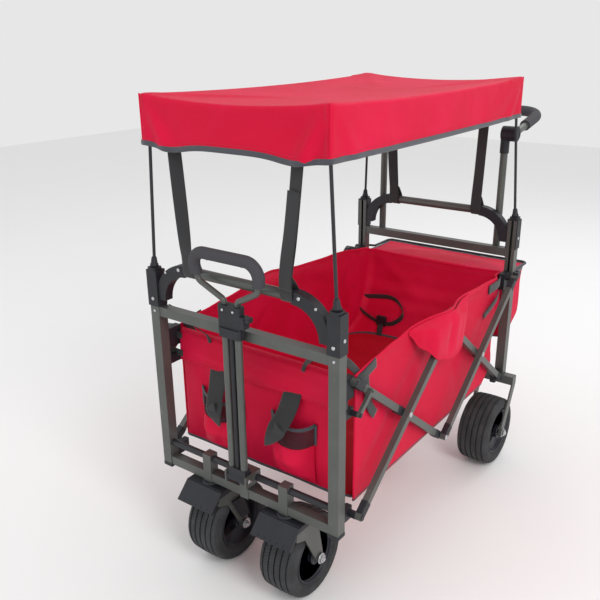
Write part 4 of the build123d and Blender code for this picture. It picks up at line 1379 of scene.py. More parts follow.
    def build_harness(self) -> None:
        """Make the seat harness, its strap and the curved tape at the foot of the rear wall."""
        loop = [
            (-0.222, 0.412, 0.410),
            (-0.147, 0.416, 0.423),
            (-0.107, 0.414, 0.421),
            (-0.077, 0.405, 0.400),
            (-0.072, 0.393, 0.375),
            (-0.100, 0.379, 0.353),
            (-0.142, 0.378, 0.350),
            (-0.190, 0.384, 0.362),
            (-0.222, 0.390, 0.376),
        ]
        band = ellipse(0.0085, 0.0012, 10, 0.5)
        harness = sweep("seat_harness_loop", smooth_path(loop, 8), band, Vector((0, -0.35, 1)))
        short = [
            (-0.129, 0.386, 0.364), (-0.134, 0.378, 0.350), (-0.132, 0.366, 0.334), (-0.126, 0.352, 0.316),
            (-0.120, 0.335, 0.300),
        ]
        tail = sweep("seat_harness_tail", smooth_path(short, 8), ellipse(0.0090, 0.0012, 10, 0.5), ACROSS)
        buckle = soft_block("seat_harness_buckle", (-0.150, 0.3735, 0.340), (-0.117, 0.3835, 0.372), 0.003)
        arc = [
            (-0.231, 0.300, 0.2925), (-0.229, 0.322, 0.299), (-0.212, 0.342, 0.306), (-0.180, 0.352, 0.312),
            (-0.144, 0.357, 0.3155), (-0.07, 0.359, 0.317),
        ]
        arc += [
            (0.07, 0.359, 0.317), (0.144, 0.357, 0.3155), (0.180, 0.352, 0.312), (0.212, 0.342, 0.306),
            (0.229, 0.322, 0.299), (0.231, 0.300, 0.2925),
        ]
        tape = sweep(
            "rear_wall_tape", smooth_path(arc, 8), ellipse(0.0055, 0.0014, 10, 0.6), Vector((0, 0.6, 0.8)),
        )
        seat = grid("rear_seat_panel", self.seat_at, 40, 10)
        # The seat panel wears the darker copy of the red cloth, painted shade of the basket's inside.
        seat = dress(thicken(seat, 0.002), Finish.LINING, "rear_frame")
        Fold.squash(seat, self.front, self.anchor)
        for piece in (harness, tail, buckle):
            finish = Finish.PLASTIC if piece is buckle else Finish.WEBBING
            dress(piece, finish, "rear_frame")
            Fold.squash(piece, self.front, self.anchor)
        dress(tape, Finish.BINDING, "rear_frame")
        Fold.squash(tape, self.front, self.anchor)

    @staticmethod
    def seat_at(u: float, v: float) -> Vector:
        """Place on the sloped panel that lines the basket's rear foot, edged by the tape."""
        s = 2 * u - 1
        y = 0.262 + v * 0.094 * (1 - 0.32 * abs(s) ** 5)
        return Vector((s * 0.2285, y, 0.2885 + 0.028 * ease(v) * (1 - 0.5 * abs(s) ** 6)))

    def build_tabs(self) -> None:
        """Make the webbing tabs that tie the walls to the posts and arms."""
        runs = {
            "rear_rim_tab": (
                [
                    (0.2435, 0.285, 0.558), (0.2440, 0.325, 0.558), (0.2400, 0.362, 0.557),
                    (0.2300, 0.400, 0.556),
                ],
                0.013, (0, 0, 1),
            ),
            "rear_arm_tab": (
                [
                    (0.2440, 0.262, 0.490), (0.2448, 0.300, 0.502), (0.2440, 0.345, 0.516),
                    (0.2330, 0.385, 0.520),
                ],
                0.008, (0, 0, 1),
            ),
            "front_inner_tab": (
                [
                    (0.2368, -0.334, 0.530), (0.2362, -0.354, 0.562), (0.2330, -0.380, 0.592),
                    (0.2275, -0.408, 0.616), (0.2262, -0.4236, 0.628),
                ],
                0.009, (0, 1, 0.2),
            ),
            "front_rim_tab": (
                [
                    (0.2440, -0.300, 0.571), (0.2450, -0.325, 0.566), (0.2450, -0.350, 0.560),
                    (0.2420, -0.372, 0.556),
                ],
                0.012, (0, 0, 1),
            ),
            "front_arm_tail": (
                [
                    (0.2440, -0.338, 0.552), (0.2446, -0.335, 0.520), (0.2446, -0.322, 0.480),
                    (0.2450, -0.300, 0.452),
                ],
                0.011, (0, 1, 0),
            ),
        }
        for name, (places, half, across) in runs.items():
            for sign, side in ((-1, "left"), (1, "right")):
                line = smooth_path([(sign * x, y, z) for x, y, z in places], 6)
                tab = sweep(f"{name}_{side}", line, ellipse(half, 0.0011, 10, 0.4), Vector(across))
                dress(tab, Finish.WEBBING, "rear_frame")
                Fold.squash(tab, self.front, self.anchor)

    def build(self) -> None:
        """Make every piece of the basket."""
        self.build_walls()
        self.build_covers()
        self.build_floor()
        self.build_harness()
        self.build_tabs()


@dataclass
class FrontPanel:
    """The front panel on the front frame: sheet, flap, two bottle pockets, straps and tabs."""

    half: float = 0.2265
    foot: float = 0.2856
    rim: float = 0.562
    face: float = -0.3855
    flap_foot: float = 0.494
    pockets: tuple[tuple[float, float], ...] = ((-0.100, 0.062), (0.100, 0.057))
    pocket_foot: float = 0.296
    pocket_depth: float = 0.034

    def panel_at(self, u: float, v: float) -> Vector:
        """Place on the panel; v runs up."""
        x = (2 * u - 1) * self.half
        z = self.foot + (self.rim - self.foot) * v
        calm = 1 - (2 * u - 1) ** 8
        y = self.face - 0.005 * math.sin(math.pi * v) * calm - 0.0028 * wave(x, 0, z, 0.11, 1.0) * calm
        y += 0.003 * ridge((x, z), (-0.22, 0.55), (-0.06, 0.34), 0.016)
        y += 0.003 * ridge((x, z), (0.22, 0.55), (0.05, 0.33), 0.016)
        side = 0.0035 * math.sin(math.pi * v)
        return Vector((x * (1 - side / self.half), y, z - 0.003 * calm * (v > 0.98)))

    def flap_at(self, u: float, v: float) -> Vector:
        """Place on the flap, which folds over the panel's rim; v runs down the front."""
        x = (2 * u - 1) * (self.half - 0.002)
        roll = between(((0.0, 0.0), (0.12, 1.0), (1.0, 1.0)), v)
        top = self.rim + 0.004
        z = top - (top - self.flap_foot) * max(v - 0.06, 0.0) / 0.94
        z += 0.0032 * wave(x, 1.0, 0.0, 0.09, 3.0) * v
        y = self.face + 0.006 - 0.0145 * roll - 0.0030 * v - 0.0026 * wave(x, 0, z, 0.08, 9.0) * v
        y -= 0.0022 * ridge((x, z), (-0.05, 0.541), (0.20, 0.533), 0.008) + 0.0020 * ridge(
            (x, z), (-0.21, 0.522), (0.06, 0.512), 0.008,
        )
        return Vector((x, y, z))

    def pocket_at(self, number: int, u: float, v: float) -> Vector:
        """Place on a pocket; v runs up from its foot to the net's top tape."""
        middle, half = self.pockets[number]
        s = 2 * u - 1
        x = middle + s * half * (1 - 0.03 * math.sin(math.pi * v))
        droop = 0.020 * (1 - s * s) ** 0.8
        top = 0.439 - droop
        z = self.pocket_foot + (top - self.pocket_foot) * v
        profile = between(((0.0, 0.06), (0.16, 0.62), (0.42, 1.0), (0.68, 0.86), (1.0, 0.48)), v)
        depth = self.pocket_depth * profile * (1 - abs(s) ** 3.2) + 0.0012
        crease = 0.0035 * ridge((x, z), (middle - 0.04 * (1 if number else -1), 0.40), (middle, 0.31), 0.010)
        crumple = 0.0062 * wave(x, number, z, 0.046, 5.0) * profile * (1 - s * s)
        y = self.face - 0.0060 - depth - crumple + crease
        return Vector((x, y, z))

    def build_panel(self) -> list[bpy.types.Object]:
        """Make the panel, its binding and the flap."""
        panel = dress(
            thicken(grid("front_panel_cloth", self.panel_at, 56, 34), 0.0028), Finish.CLOTH, "front_frame",
        )
        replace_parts(panel, "basket_front_panel")
        flap = dress(
            thicken(grid("front_panel_flap", self.flap_at, 56, 14), 0.0018), Finish.CLOTH, "front_frame",
        )
        seam = [self.flap_at(u / 60, 1.0) for u in range(61)]
        hem = dress(
            sweep("front_flap_hem", seam, ellipse(0.0022, 0.0017, 8), UP), Finish.CLOTH, "front_frame",
        )
        rows = [
            stitches(
                "row", [self.flap_at(0.01 + 0.98 * u / 60, t) + Vector((0, -0.0012, 0)) for u in range(61)],
            )
            for t in (0.91, 0.955)
        ]
        thread = dress(join("front_flap_stitches", rows), Finish.RED_THREAD, "front_frame")
        edges = []
        for u in (0.0, 1.0):
            upper = [self.panel_at(u, 0.80 + 0.2 * i / 12) for i in range(13)]
            edges.append(sweep("edge", upper, ellipse(0.0062, 0.0030, 10, 0.6), ACROSS))
        foot = [self.panel_at(u / 50, 0.004) for u in range(51)]
        edges.append(sweep("edge", foot, ellipse(0.0040, 0.0028, 10, 0.7), UP))
        binding = dress(join("front_panel_binding", edges), Finish.BINDING, "front_frame")
        self.rim - self.foot
        return [panel, flap]

    def build_pockets(self) -> None:
        """Make both pockets: crumpled cloth below, net above, and a tape round the mouth."""
        for number, side in ((0, "left"), (1, "right")):
            share = 0.66
            bag = thicken(
                grid(f"pocket_cloth_{side}", lambda u, v, n=number: self.pocket_at(n, u, v * share), 30, 20),
                0.0014,
            )
            net = thicken(
                grid(
                    f"pocket_net_{side}", lambda u, v,
                    n=number: self.pocket_at(n, u, share + v * (1 - share)), 30, 8,
                ),
                0.0006,
            )
            dress(bag, Finish.CLOTH, "front_frame")
            dress(net, Finish.NET, "front_frame")
            mouth = [self.pocket_at(number, u / 30, 1.0) for u in range(31)]
            sides = [
                [self.pocket_at(number, u, share + (1 - share) * v / 8) for v in range(9)]
                for u in (0.0, 1.0)
            ]
            band = ellipse(0.0042, 0.0012, 10, 0.6)
            tapes = [sweep("mouth", mouth, band, UP)]
            tapes += [sweep("side", line, band, ACROSS) for line in sides]
            tape = dress(join(f"pocket_tape_{side}", tapes), Finish.BINDING, "front_frame")
            welt = [self.pocket_at(number, u / 30, share) for u in range(31)]
            seam = dress(
                sweep(f"pocket_seam_{side}", welt, ellipse(0.0020, 0.0016, 8), UP), Finish.CLOTH,
                "front_frame",
            )

    def build_straps(self) -> None:
        """Make the two hanging pocket straps with their folded tips, and the tabs to the frame."""
        face = self.face - 0.014
        runs = {
            "pocket_strap_left": [
                (-0.105, face + 0.004, 0.500),
                (-0.106, face - 0.001, 0.488),
                (-0.104, face - 0.010, 0.455),
                (-0.098, face - 0.026, 0.425),
                (-0.086, face - 0.036, 0.402),
                (-0.074, face - 0.037, 0.380),
            ],
            "pocket_strap_right": [
                (0.102, face + 0.004, 0.502),
                (0.101, face - 0.001, 0.490),
                (0.094, face - 0.010, 0.458),
                (0.086, face - 0.026, 0.430),
                (0.072, face - 0.036, 0.404),
                (0.056, face - 0.038, 0.378),
            ],
        }
        for name, places in runs.items():
            line = smooth_path(places, 8)
            last = 15
            half = [0.0232] * (len(line) - last) + [
                0.0232 * (1 - (i / (last - 1)) ** 1.4) + 0.0008 for i in range(last)
            ]
            dress(self.tapered(name, line, half), Finish.WEBBING, "front_frame")
            lean = 1 if places[-1][0] > 0 else -1
            turn = line[-last]
            fold = [
                turn + Vector((0.010 * lean, -0.0032, 0.004)),
                turn + Vector((-0.002 * lean, -0.0046, -0.012)),
                turn + Vector((-0.018 * lean, -0.0046, -0.034)),
            ]
            tip = [0.0150 * (1 - (i / 12) ** 1.2) + 0.0010 for i in range(13)]
            dress(self.tapered(f"{name}_tip", smooth_path(fold, 6), tip), Finish.WEBBING, "front_frame")
        tabs = []
        for sign in (-1, 1):
            for z in (0.553, 0.508):
                places = [
                    (sign * 0.216, self.face - 0.012, z), (sign * 0.229, self.face - 0.013, z + 0.001),
                    (sign * 0.241, -0.404, z + 0.004), (sign * 0.2415, -0.423, z + 0.006),
                ]
                tabs.append(sweep("tab", smooth_path(places, 6), ellipse(0.0085, 0.0012, 10, 0.4), UP))
            rise = [
                (sign * 0.128, self.face - 0.0105, 0.556), (sign * 0.136, self.face - 0.0125, 0.574),
                (sign * 0.160, -0.414, 0.598), (sign * 0.176, -0.4245, 0.614),
            ]
            tabs.append(
                sweep("tab", smooth_path(rise, 6), ellipse(0.0046, 0.0011, 10, 0.4), Vector((1, 0, -0.4)))
            )
        dress(join("front_panel_tabs", tabs), Finish.WEBBING, "front_frame")

    @staticmethod
    def tapered(name: str, line: Sequence[Vector], halves: Sequence[float]) -> bpy.types.Object:
        """A flat strap whose half width is given at each point."""
        shapes = ellipse(1.0, 0.0012, 12, 0.4)
        points: list[Vector] = []
        for i, here in enumerate(line):
            along = (line[min(i + 1, len(line) - 1)] - line[max(i - 1, 0)]).normalized()
            a = ACROSS
            a = (a - along * a.dot(along)).normalized()
            b = along.cross(a)
            half = halves[min(i, len(halves) - 1)]
            points += [here + a * (u * half) + b * v for u, v in shapes]
        sides, count = len(shapes), len(line)
        faces = [
            (
                i * sides + k, i * sides + (k + 1) % sides, (i + 1) * sides + (k + 1) % sides,
                (i + 1) * sides + k,
            )
            for i in range(count - 1)
            for k in range(sides)
        ]
        faces += [tuple(reversed(range(sides))), tuple((count - 1) * sides + k for k in range(sides))]
        return as_object(name, points, faces)

    def build(self) -> None:
        """Make every piece of the front panel."""
        self.build_panel()
        self.build_pockets()
        self.build_straps()


@dataclass
class RearBag:
    """The storage bag behind the rear frame, with a crowned lid bound in tape."""

    half: float = 0.2305
    near: float = 0.4540
    far: float = 0.5905
    foot: float = 0.352
    rim: float = 0.5475
    slope: float = 0.036
    corner: float = 0.028
    cloth: float = 0.0022

    def ring_at(self, share: float, z: float, shrink: float = 1.0) -> Vector:
        """Place round the bag at a height."""
        climb = (z - self.foot) / (self.rim - self.foot)
        far = self.far - self.slope * (1 - ease(min(climb / 0.30, 1.0)))
        belly = 0.6 + 0.4 * math.sin(math.pi * min(max(climb, 0.0), 1.0))
        half = (self.half - 0.012 * (1 - ease(climb / 0.35))) * shrink
        middle, deep = (self.near + far) / 2, (far - self.near) / 2 * shrink
        angle = math.tau * share
        c, s = math.cos(angle), math.sin(angle)
        power = 0.24
        x = half * math.copysign(abs(c) ** power, c)
        y = middle + deep * math.copysign(abs(s) ** power, s)
        if s > 0:
            y -= 0.006 * (1 - belly) + 0.005 * wave(x, 2.0, z, 0.10, 3.0) * s
            y -= 0.004 * ridge((x, z), (-0.20, 0.54), (-0.05, 0.40), 0.018)
            y -= 0.004 * ridge((x, z), (0.20, 0.54), (0.07, 0.39), 0.018)
        if abs(c) > 0.3:
            x -= math.copysign(0.004 * (1 + wave(y, z, c, 0.08, 7.0)) * math.sin(math.pi * climb), c)
        return Vector((x, min(y, self.far), z))

    def bag_at(self, u: float, v: float) -> Vector:
        """Place on the bag; v runs from the middle of its base, out, and up to the rim."""
        base = 0.22
        if v < base:
            t = v / base
            sag = 0.004 * (1 - t * t)
            return self.ring_at(u, self.foot + 0.001, max(t, 0.02)) - Vector((0, 0, sag - 0.002))
        t = (v - base) / (1 - base)
        return self.ring_at(u, self.foot + 0.001 + (self.rim - self.foot - 0.001) * t)

    def lid_at(self, u: float, v: float) -> Vector:
        """Place on the lid; v runs from the posts to the far edge."""
        s = 2 * u - 1
        x = s * (0.2295 - 0.004 * math.sin(math.pi * v))
        y = 0.4545 + v * 0.131
        crown = 0.007 * (1 - abs(s) ** 3) * math.sin(math.pi * min(v + 0.18, 1.0))
        crease = 0.0022 * wave(x, y, 0, 0.07, 2.0) + 0.002 * ridge((x, y), (-0.2, 0.46), (0.02, 0.58), 0.016)
        return Vector((x, y, 0.5535 + crown + crease * (1 - abs(s) ** 6)))

    def build(self) -> None:
        """Make the bag and its lid, with their tapes, welts and stitches."""
        bag = dress(
            thicken(grid("rear_bag_cloth", self.bag_at, 96, 26, True), self.cloth), Finish.CLOTH,
            "rear_frame",
        )
        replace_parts(bag, "rear_bag")
        rim = [self.ring_at(i / 96, self.rim) for i in range(96)]
        tape = sweep("rear_bag_rim_tape", rim, ellipse(0.0060, 0.0022, 10, 0.7), UP, True)
        seams = []
        for share in (0.0875, 0.4125):
            line = [
                self.ring_at(share, self.foot + 0.004 + (self.rim - self.foot - 0.006) * i / 24)
                for i in range(25)
            ]
            seams.append(sweep("seam", line, ellipse(0.0022, 0.0022, 8)))
        low = [self.ring_at(i / 96, self.foot + 0.006) for i in range(96)]
        seams.append(sweep("seam", low, ellipse(0.0022, 0.0022, 8), UP, True))
        welt = dress(join("rear_bag_welts", seams), Finish.BINDING, "rear_frame")
        dress(tape, Finish.BINDING, "rear_frame")
        rows = [
            stitches("row", [p + Vector((0, 0.0014 if p.y > 0.52 else -0.0004, -0.009)) for p in rim[2:46]])
        ]
        thread = dress(join("rear_bag_stitches", rows), Finish.RED_THREAD, "rear_frame")
        lid = dress(thicken(grid("bag_lid_cloth", self.lid_at, 52, 18), 0.002), Finish.CLOTH, "bag_lid")
        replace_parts(lid, "bag_lid")
        edge = [self.lid_at(0.0, v / 14) for v in range(15)]
        edge += [self.lid_at(u / 48, 1.0) for u in range(1, 49)]
        edge += [self.lid_at(1.0, 1 - v / 14) for v in range(1, 15)]
        bound = dress(
            sweep("bag_lid_binding", edge, ellipse(0.0018, 0.0055, 10, 0.7), UP), Finish.BINDING, "bag_lid",
        )
        near = [self.lid_at(0.02 + 0.96 * u / 48, 0.06) + Vector((0, 0, 0.0013)) for u in range(49)]
        sewn = dress(stitches("bag_lid_stitches", near), Finish.RED_THREAD, "bag_lid")


# ---------------------------------------------------------------- hardware
class Side(Enum):
    """The two sides of the wagon."""

    LEFT = -1
    RIGHT = 1


@dataclass
class Hardware:
    """Rivets, bolts, end blocks, hub caps and sockets that dress the frame."""

    rivet: float = 0.0042
    arm_inner: float = 0.246
    arm_outer: float = 0.262
    arm_thick: float = 0.014
    arm_width: float = 0.016
    post_x: float = 0.240
    post_y: float = 0.437
    crossbar_z: float = 0.626
    caster_x: float = 0.110
    caster_y: float = 0.387
    rear_wheel_x: float = 0.232
    rear_wheel_y: float = 0.372
    axle_z: float = 0.1
    pin_y: float = 0.395
    low_pin_z: float = 0.260
    high_pin_z: float = 0.566

    def rivet_head(
        self, place: Sequence[float], axis: Sequence[float], radius: float | None = None,
    ) -> bpy.types.Object:
        """A domed rivet head."""
        r = radius or self.rivet
        profile = [
            (-0.0004, r), (0.0005, r), (0.0012, 0.9 * r), (0.0019, 0.66 * r), (0.0023, 0.34 * r),
            (0.0024, 0.05 * r),
        ]
        return turned("rivet", profile, Vector(place), Vector(axis), 18)

    def cap_nut(self, place: Sequence[float], axis: Sequence[float], radius: float) -> bpy.types.Object:
        """A hexagon nut with a chamfer, over a washer."""
        nut = turned(
            "nut", [(0.0008, radius), (0.0052, radius), (0.0062, 0.86 * radius), (0.0062, 0.5 * radius)],
            Vector(place), Vector(axis), 6,
        )
        nut.data.polygons.foreach_set("use_smooth", [False] * len(nut.data.polygons))
        washer = turned(
            "washer", [(-0.0003, 1.3 * radius), (0.0008, 1.3 * radius), (0.001, 1.2 * radius)], Vector(place),
            Vector(axis), 24,
        )
        end = turned(
            "end", [(0.005, 0.48 * radius), (0.0088, 0.46 * radius), (0.0094, 0.36 * radius)], Vector(place),
            Vector(axis), 14,
        )
        return join("cap_nut", [nut, washer, end])

    def sleeve(
        self, start: Sequence[float], end: Sequence[float], at: float, length: float, inner_x: float,
        sign: int,
    ) -> bpy.types.Object:
        """A moulded sleeve round a flat arm.

        Args:
            start: (y, z) of the arm's first pivot.
            end: (y, z) of its other pivot.
            at: the sleeve's middle, in metres from the first pivot.
            length: the sleeve's length.
            inner_x: the arm's inner face.
            sign: which side of the wagon.

        Returns:
            The sleeve.
        """
        dy, dz = end[0] - start[0], end[1] - start[1]
        reach = math.hypot(dy, dz)
        angle = math.atan2(dz, dy)
        y, z = start[0] + dy * at / reach, start[1] + dz * at / reach
        x = sign * (inner_x + self.arm_thick / 2)
        matrix = Matrix.Translation((x, y, z)) @ Matrix.Rotation(angle, 4, "X")
        high = (self.arm_thick / 2 + 0.0007, length / 2, self.arm_width / 2 + 0.0017)
        return soft_block("sleeve", [-h for h in high], high, 0.0016, matrix)

    def build_arms(self) -> None:
        """Make the moulded sleeves at the ends and crossings of the arms."""
        pin_y, low, high = self.pin_y, self.low_pin_z, self.high_pin_z
        length = math.hypot(pin_y, high - low)
        arms = {
            "front_high_arms": (
                (-pin_y, high), (0.0, low), self.arm_inner, (0.019, length / 2 - 0.020, length - 0.018),
            ),
            "front_low_arms": ((-pin_y, low), (0.0, high), self.arm_outer, (0.020,)),
            "rear_low_arms": ((pin_y, low), (0.0, high), self.arm_inner, (0.020, length / 2 - 0.018)),
            "rear_high_arms": ((pin_y, high), (0.0, low), self.arm_outer, (0.020, length - 0.019)),
        }
        for body, (start, end, inner, places) in arms.items():
            blocks = [
                self.sleeve(start, end, at, 0.030, inner, side.value)
                for side in Side
                for at in places
            ]
            dress(join(f"{body}_sleeves", blocks), Finish.PLASTIC, body)

    def build_frames(self) -> None:
        """Make the rivets, sockets and post feet of both end frames."""
        for body, side in (("front_frame", -1), ("rear_frame", 1)):
            face = side * (self.post_y + 0.0152)
            arm_face = side * (self.post_y + 0.0112)
            heads, sockets = [], []
            for sign in (-1, 1):
                heads += [
                    self.rivet_head((sign * self.post_x, face, 0.655), (0, side, 0)),
                    self.rivet_head((sign * 0.158, arm_face, 0.7345), (0, side, 0)),
                    self.rivet_head((sign * 0.198, arm_face, 0.722), (0, side, 0), 0.0034),
                    self.rivet_head((sign * 0.2552, side * self.post_y, 0.668), (sign, 0, 0)),
                    self.rivet_head(
                        (sign * self.post_x, side * 0.4497, self.crossbar_z), (0, side, 0), 0.0034,
                    ),
                ]
                foot = Vector((sign * self.post_x, side * 0.4400, 0.7262))
                profile = [
                    (0.0, 0.0092), (0.006, 0.0092), (0.0085, 0.0074), (0.020, 0.0060), (0.0225, 0.0050),
                    (0.0225, 0.0036),
                ]
                lean = Vector((sign * -0.022, side * (0.001 if side < 0 else -0.026), 0.36))
                sockets.append(turned("socket", profile, foot, lean, 20))
            dress(join(f"{body}_rivets", heads), Finish.BOLT, body)
            dress(join(f"{body}_pole_sockets", sockets), Finish.PLASTIC, body)
        beads = []
        for body, side in (("front_frame", -1), ("rear_frame", 1)):
            for sign in (-1, 1):
                half, x = 0.0113, sign * 0.2272
                ring = [
                    (x, side * self.post_y + a * half, self.crossbar_z + b * half) for a,
                    b in ((-1, -1), (1, -1), (1, 1), (-1, 1))
                ]
                square = [
                    Vector(ring[i]).lerp(Vector(ring[(i + 1) % 4]), t / 6) for i in range(4) for t in range(6)
                ]
                beads.append((body, sweep("bead", square, ellipse(0.0016, 0.0016, 8), None, True)))
        for body in ("front_frame", "rear_frame"):
            dress(join(f"{body}_weld_beads", [b for name, b in beads if name == body]), Finish.FRAME, body)
        plugs = []
        for sign in (-1, 1):
            plugs.append(
                soft_block(
                    "plug", (sign * self.post_x - 0.0135, -0.4505, 0.224),
                    (sign * self.post_x + 0.0135, -0.4235, 0.234), 0.002,
                )
            )
        dress(join("front_post_feet", plugs), Finish.PLASTIC, "front_frame")

    def build_wheels(self) -> None:
        """Make the hub caps, bearing rings and axle nuts."""
        wheels = (
            ("rear_wheel_left", -self.rear_wheel_x, self.rear_wheel_y),
            ("rear_wheel_right", self.rear_wheel_x, self.rear_wheel_y),
            ("front_wheel_left", -self.caster_x, -self.caster_y),
            ("front_wheel_right", self.caster_x, -self.caster_y),
        )
        for body, x, y in wheels:
            rings = []
            for sign in (-1, 1):
                face = Vector((x + sign * 0.0436, y, self.axle_z))
                profile = [
                    (-0.003, 0.0200), (0.0002, 0.0200), (0.0012, 0.0186), (0.0014, 0.0140), (0.0006, 0.0132),
                    (0.0006, 0.0070),
                ]
                rings.append(turned("ring", profile, face, Vector((sign, 0, 0)), 32))
                lip = Vector((x + sign * 0.0392, y, self.axle_z))
                rings.append(
                    turned(
                        "lip",
                        [
                            (-0.006, 0.0655), (0.0022, 0.0655), (0.0032, 0.0640), (0.0022, 0.0612),
                            (-0.006, 0.0608),
                        ],
                        lip, Vector((sign, 0, 0)), 56,
                    )
                )
                for k in range(6):
                    t = math.tau * (k + 0.5) / 6
                    spot = (x + sign * 0.0064, y + 0.040 * math.cos(t), self.axle_z + 0.040 * math.sin(t))
                    rings.append(
                        soft_block(
                            "rib", (spot[0] - 0.0035, -0.0022, -0.0165), (spot[0] + 0.0035, 0.0022, 0.0165),
                            0.0012,
                            Matrix.Translation((0, spot[1], spot[2])) @ Matrix.Rotation(
                                t - math.pi / 2, 4, "X",
                            ),
                        )
                    )
            dress(join(f"{body}_hub_rings", rings), Finish.RIM, body)
        for body, x, sign in (
            ("caster_left", -self.caster_x, -1), ("caster_left", -self.caster_x, 1),
            ("caster_right", self.caster_x, -1), ("caster_right", self.caster_x, 1),
        ):
            side = "outer" if sign * x > 0 else "inner"
            depth = 0.0576 if side == "outer" or sign < 0 else 0.0585
            nut = self.cap_nut((x + sign * depth, -self.caster_y, self.axle_z), (sign, 0, 0), 0.0098)
            nut.name = f"{body}_{side}_nut"
            dress(nut, Finish.BOLT, body)
        nuts = [
            self.cap_nut((sign * 0.2885, self.rear_wheel_y, self.axle_z), (sign, 0, 0), 0.0098)
            for sign in (-1, 1)
        ]
        dress(join("rear_axle_nuts", nuts), Finish.BOLT, "rear_frame")

    def build_handles(self) -> None:
        """Make the handle screws, the grip's end rings and the knuckle buttons."""
        screws = [self.rivet_head((x, -0.4768, 0.7848), (0, -0.2, -1), 0.0026) for x in (-0.045, 0.045)]
        dress(join("pull_grip_screws", screws), Finish.BOLT, "pull_loop")
        clamp = [self.rivet_head((x, -0.4742, 0.684), (0, -1, 0), 0.003) for x in (-0.014, 0.014)]
        dress(join("pull_clamp_screws", clamp), Finish.BOLT, "pull_handle")
        bolts = [self.rivet_head((sign * 0.0312, -0.463, 0.290), (sign, 0, 0), 0.0056) for sign in (-1, 1)]
        dress(join("pull_pivot_heads", bolts), Finish.BOLT, "front_frame")
        buttons = []
        for sign in (-1, 1):
            profile = [
                (-0.001, 0.0148), (0.0022, 0.0148), (0.0032, 0.0136), (0.0032, 0.0092), (0.0022, 0.0082),
                (0.0022, 0.0010),
            ]
            buttons.append(
                turned("button", profile, Vector((sign * 0.2188, 0.4582, 0.944)), Vector((sign, 0, 0)), 28)
            )
        dress(join("push_knuckle_buttons", buttons), Finish.PLASTIC, "push_handle")

    def build_casters(self) -> None:
        """Make the ribs on the fenders and the treads on the brake pedals."""
        for side, x, body in (
            ("left", -self.caster_x, "caster_left"), ("right", self.caster_x, "caster_right"),
        ):
            ribs = []
            for k in (-2, -1, 0, 1, 2):
                ribs.append(
                    soft_block(
                        "rib", (x + 0.017 * k - 0.0013, -0.4960, 0.1905),
                        (x + 0.017 * k + 0.0013, -0.4650, 0.1925), 0.0006, None,
                    )
                )
            step = soft_block("step", (x - 0.050, -0.4600, 0.2215), (x + 0.050, -0.4520, 0.2255), 0.0018)
            collar = turned(
                "collar", [(0.0, 0.0220), (0.004, 0.0215), (0.006, 0.0190), (0.006, 0.0145)],
                Vector((x, -0.437, 0.2235)), UP, 32,
            )
            dress(join(f"fender_step_{side}", [step, collar, *ribs]), Finish.PLASTIC, body)

    def build(self) -> None:
        """Make all the hardware."""
        self.build_arms()
        self.build_frames()
        self.build_wheels()
        self.build_handles()
        self.build_casters()


# ---------------------------------------------------------------- finishes of the frame's own parts
class FrameFinishes:
    """Puts a real finish on every CAD part that stays in view."""

    BY_SLOT = {
        "frame_steel": Finish.FRAME,
        "black_steel": Finish.BLACK_STEEL,
        "plastic_black": Finish.PLASTIC,
        "fabric_red": Finish.CLOTH,
        "webbing_black": Finish.WEBBING,
        "tyre": Finish.TYRE,
        "rim": Finish.RIM,
        "bolt_steel": Finish.BOLT,
        "grip_foam": Finish.GRIP,
    }

    @classmethod
    def apply(cls) -> None:
        """Assign the finishes through the record's slots."""
        slots = {row["node"]: row["material_slot"] for row in frame["record"]["subparts"]}
        for name, piece in frame["nodes"].items():
            finish = cls.BY_SLOT[slots[name]].material()
            for holder in piece.material_slots:
                holder.material = finish
            if not piece.material_slots:
                piece.data.materials.append(finish)
            log.info("%s wears %s", name, finish.name)


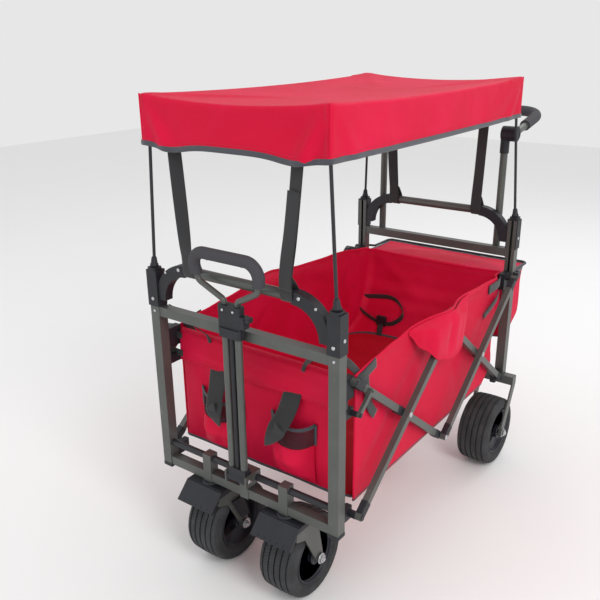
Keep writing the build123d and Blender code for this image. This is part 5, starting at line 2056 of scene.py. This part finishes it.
# ---------------------------------------------------------------- studio
@dataclass
class Studio:
    """Pale floor, soft light and the camera."""

    lens: float = 43.728
    eye: tuple[float, float, float] = (0.92658, -1.48004, 1.19944)
    right: tuple[float, float, float] = (0.8086, 0.5883, -0.0091)
    up: tuple[float, float, float] = (-0.2025, 0.2929, 0.9344)
    back: tuple[float, float, float] = (0.5524, -0.7537, 0.3560)
    shift: tuple[float, float] = (-0.0063, 0.0192)

    def build_floor(self) -> None:
        """Make a large flat floor."""
        floor = grid("studio_floor", lambda u, v: Vector((14 * (u - 0.5), 14 * (v - 0.5), -0.0004)), 8, 8)
        floor.data.materials.append(StudioFloor("studio_paper", (0.90, 0.90, 0.90)).make())

    def build_light(self) -> None:
        """Make a pale sky and three soft lamps."""
        world = bpy.data.worlds.new("studio_world")
        bpy.context.scene.world = world
        world.use_nodes = True
        sky = world.node_tree.nodes["Background"]
        sky.inputs["Color"].default_value = (1.0, 1.0, 1.0, 1.0)
        sky.inputs["Strength"].default_value = 0.80
        bpy.context.scene.view_settings.view_transform = "Standard"
        lamps = (
            ("key_lamp", (2.9, -1.5, 3.0), 62.0, 1.5, (1.0, 0.985, 0.97)),
            ("fill_lamp", (-2.4, -2.0, 1.9), 9.0, 2.0, (0.96, 0.97, 1.0)),
            ("back_lamp", (0.4, 2.7, 2.8), 20.0, 1.8, (0.96, 0.97, 1.0)),
        )
        for name, place, power, size, colour in lamps:
            light = bpy.data.lights.new(name, "AREA")
            light.energy, light.size, light.color = power, size, colour
            lamp = bpy.data.objects.new(name, light)
            lamp.location = place
            aim = Vector((0.0, 0.0, 0.5)) - Vector(place)
            lamp.rotation_euler = aim.to_track_quat("-Z", "Y").to_euler()
            bpy.context.scene.collection.objects.link(lamp)

    def build_camera(self) -> None:
        """Make the camera."""
        data = bpy.data.cameras.new("camera")
        data.sensor_width = 36.0
        data.lens = self.lens
        data.shift_x, data.shift_y = self.shift
        data.clip_end = 50.0
        camera = bpy.data.objects.new("camera", data)
        turn = Matrix((self.right, self.up, self.back)).transposed().to_4x4()
        camera.matrix_world = Matrix.Translation(self.eye) @ turn
        bpy.context.scene.collection.objects.link(camera)
        bpy.context.scene.camera = camera

    def build(self) -> None:
        """Make the whole studio."""
        self.build_camera()
        self.build_floor()
        self.build_light()


def main() -> None:
    """Build every piece in order."""
    logging.basicConfig(level=logging.INFO, format="%(name)s: %(message)s")
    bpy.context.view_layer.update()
    Studio().build()
    FrameFinishes.apply()
    Canopy.from_frame().build()
    CanopyStraps().build()
    Basket().build()
    FrontPanel().build()
    RearBag().build()
    Hardware().build()


if __name__ == "__main__":
    main()
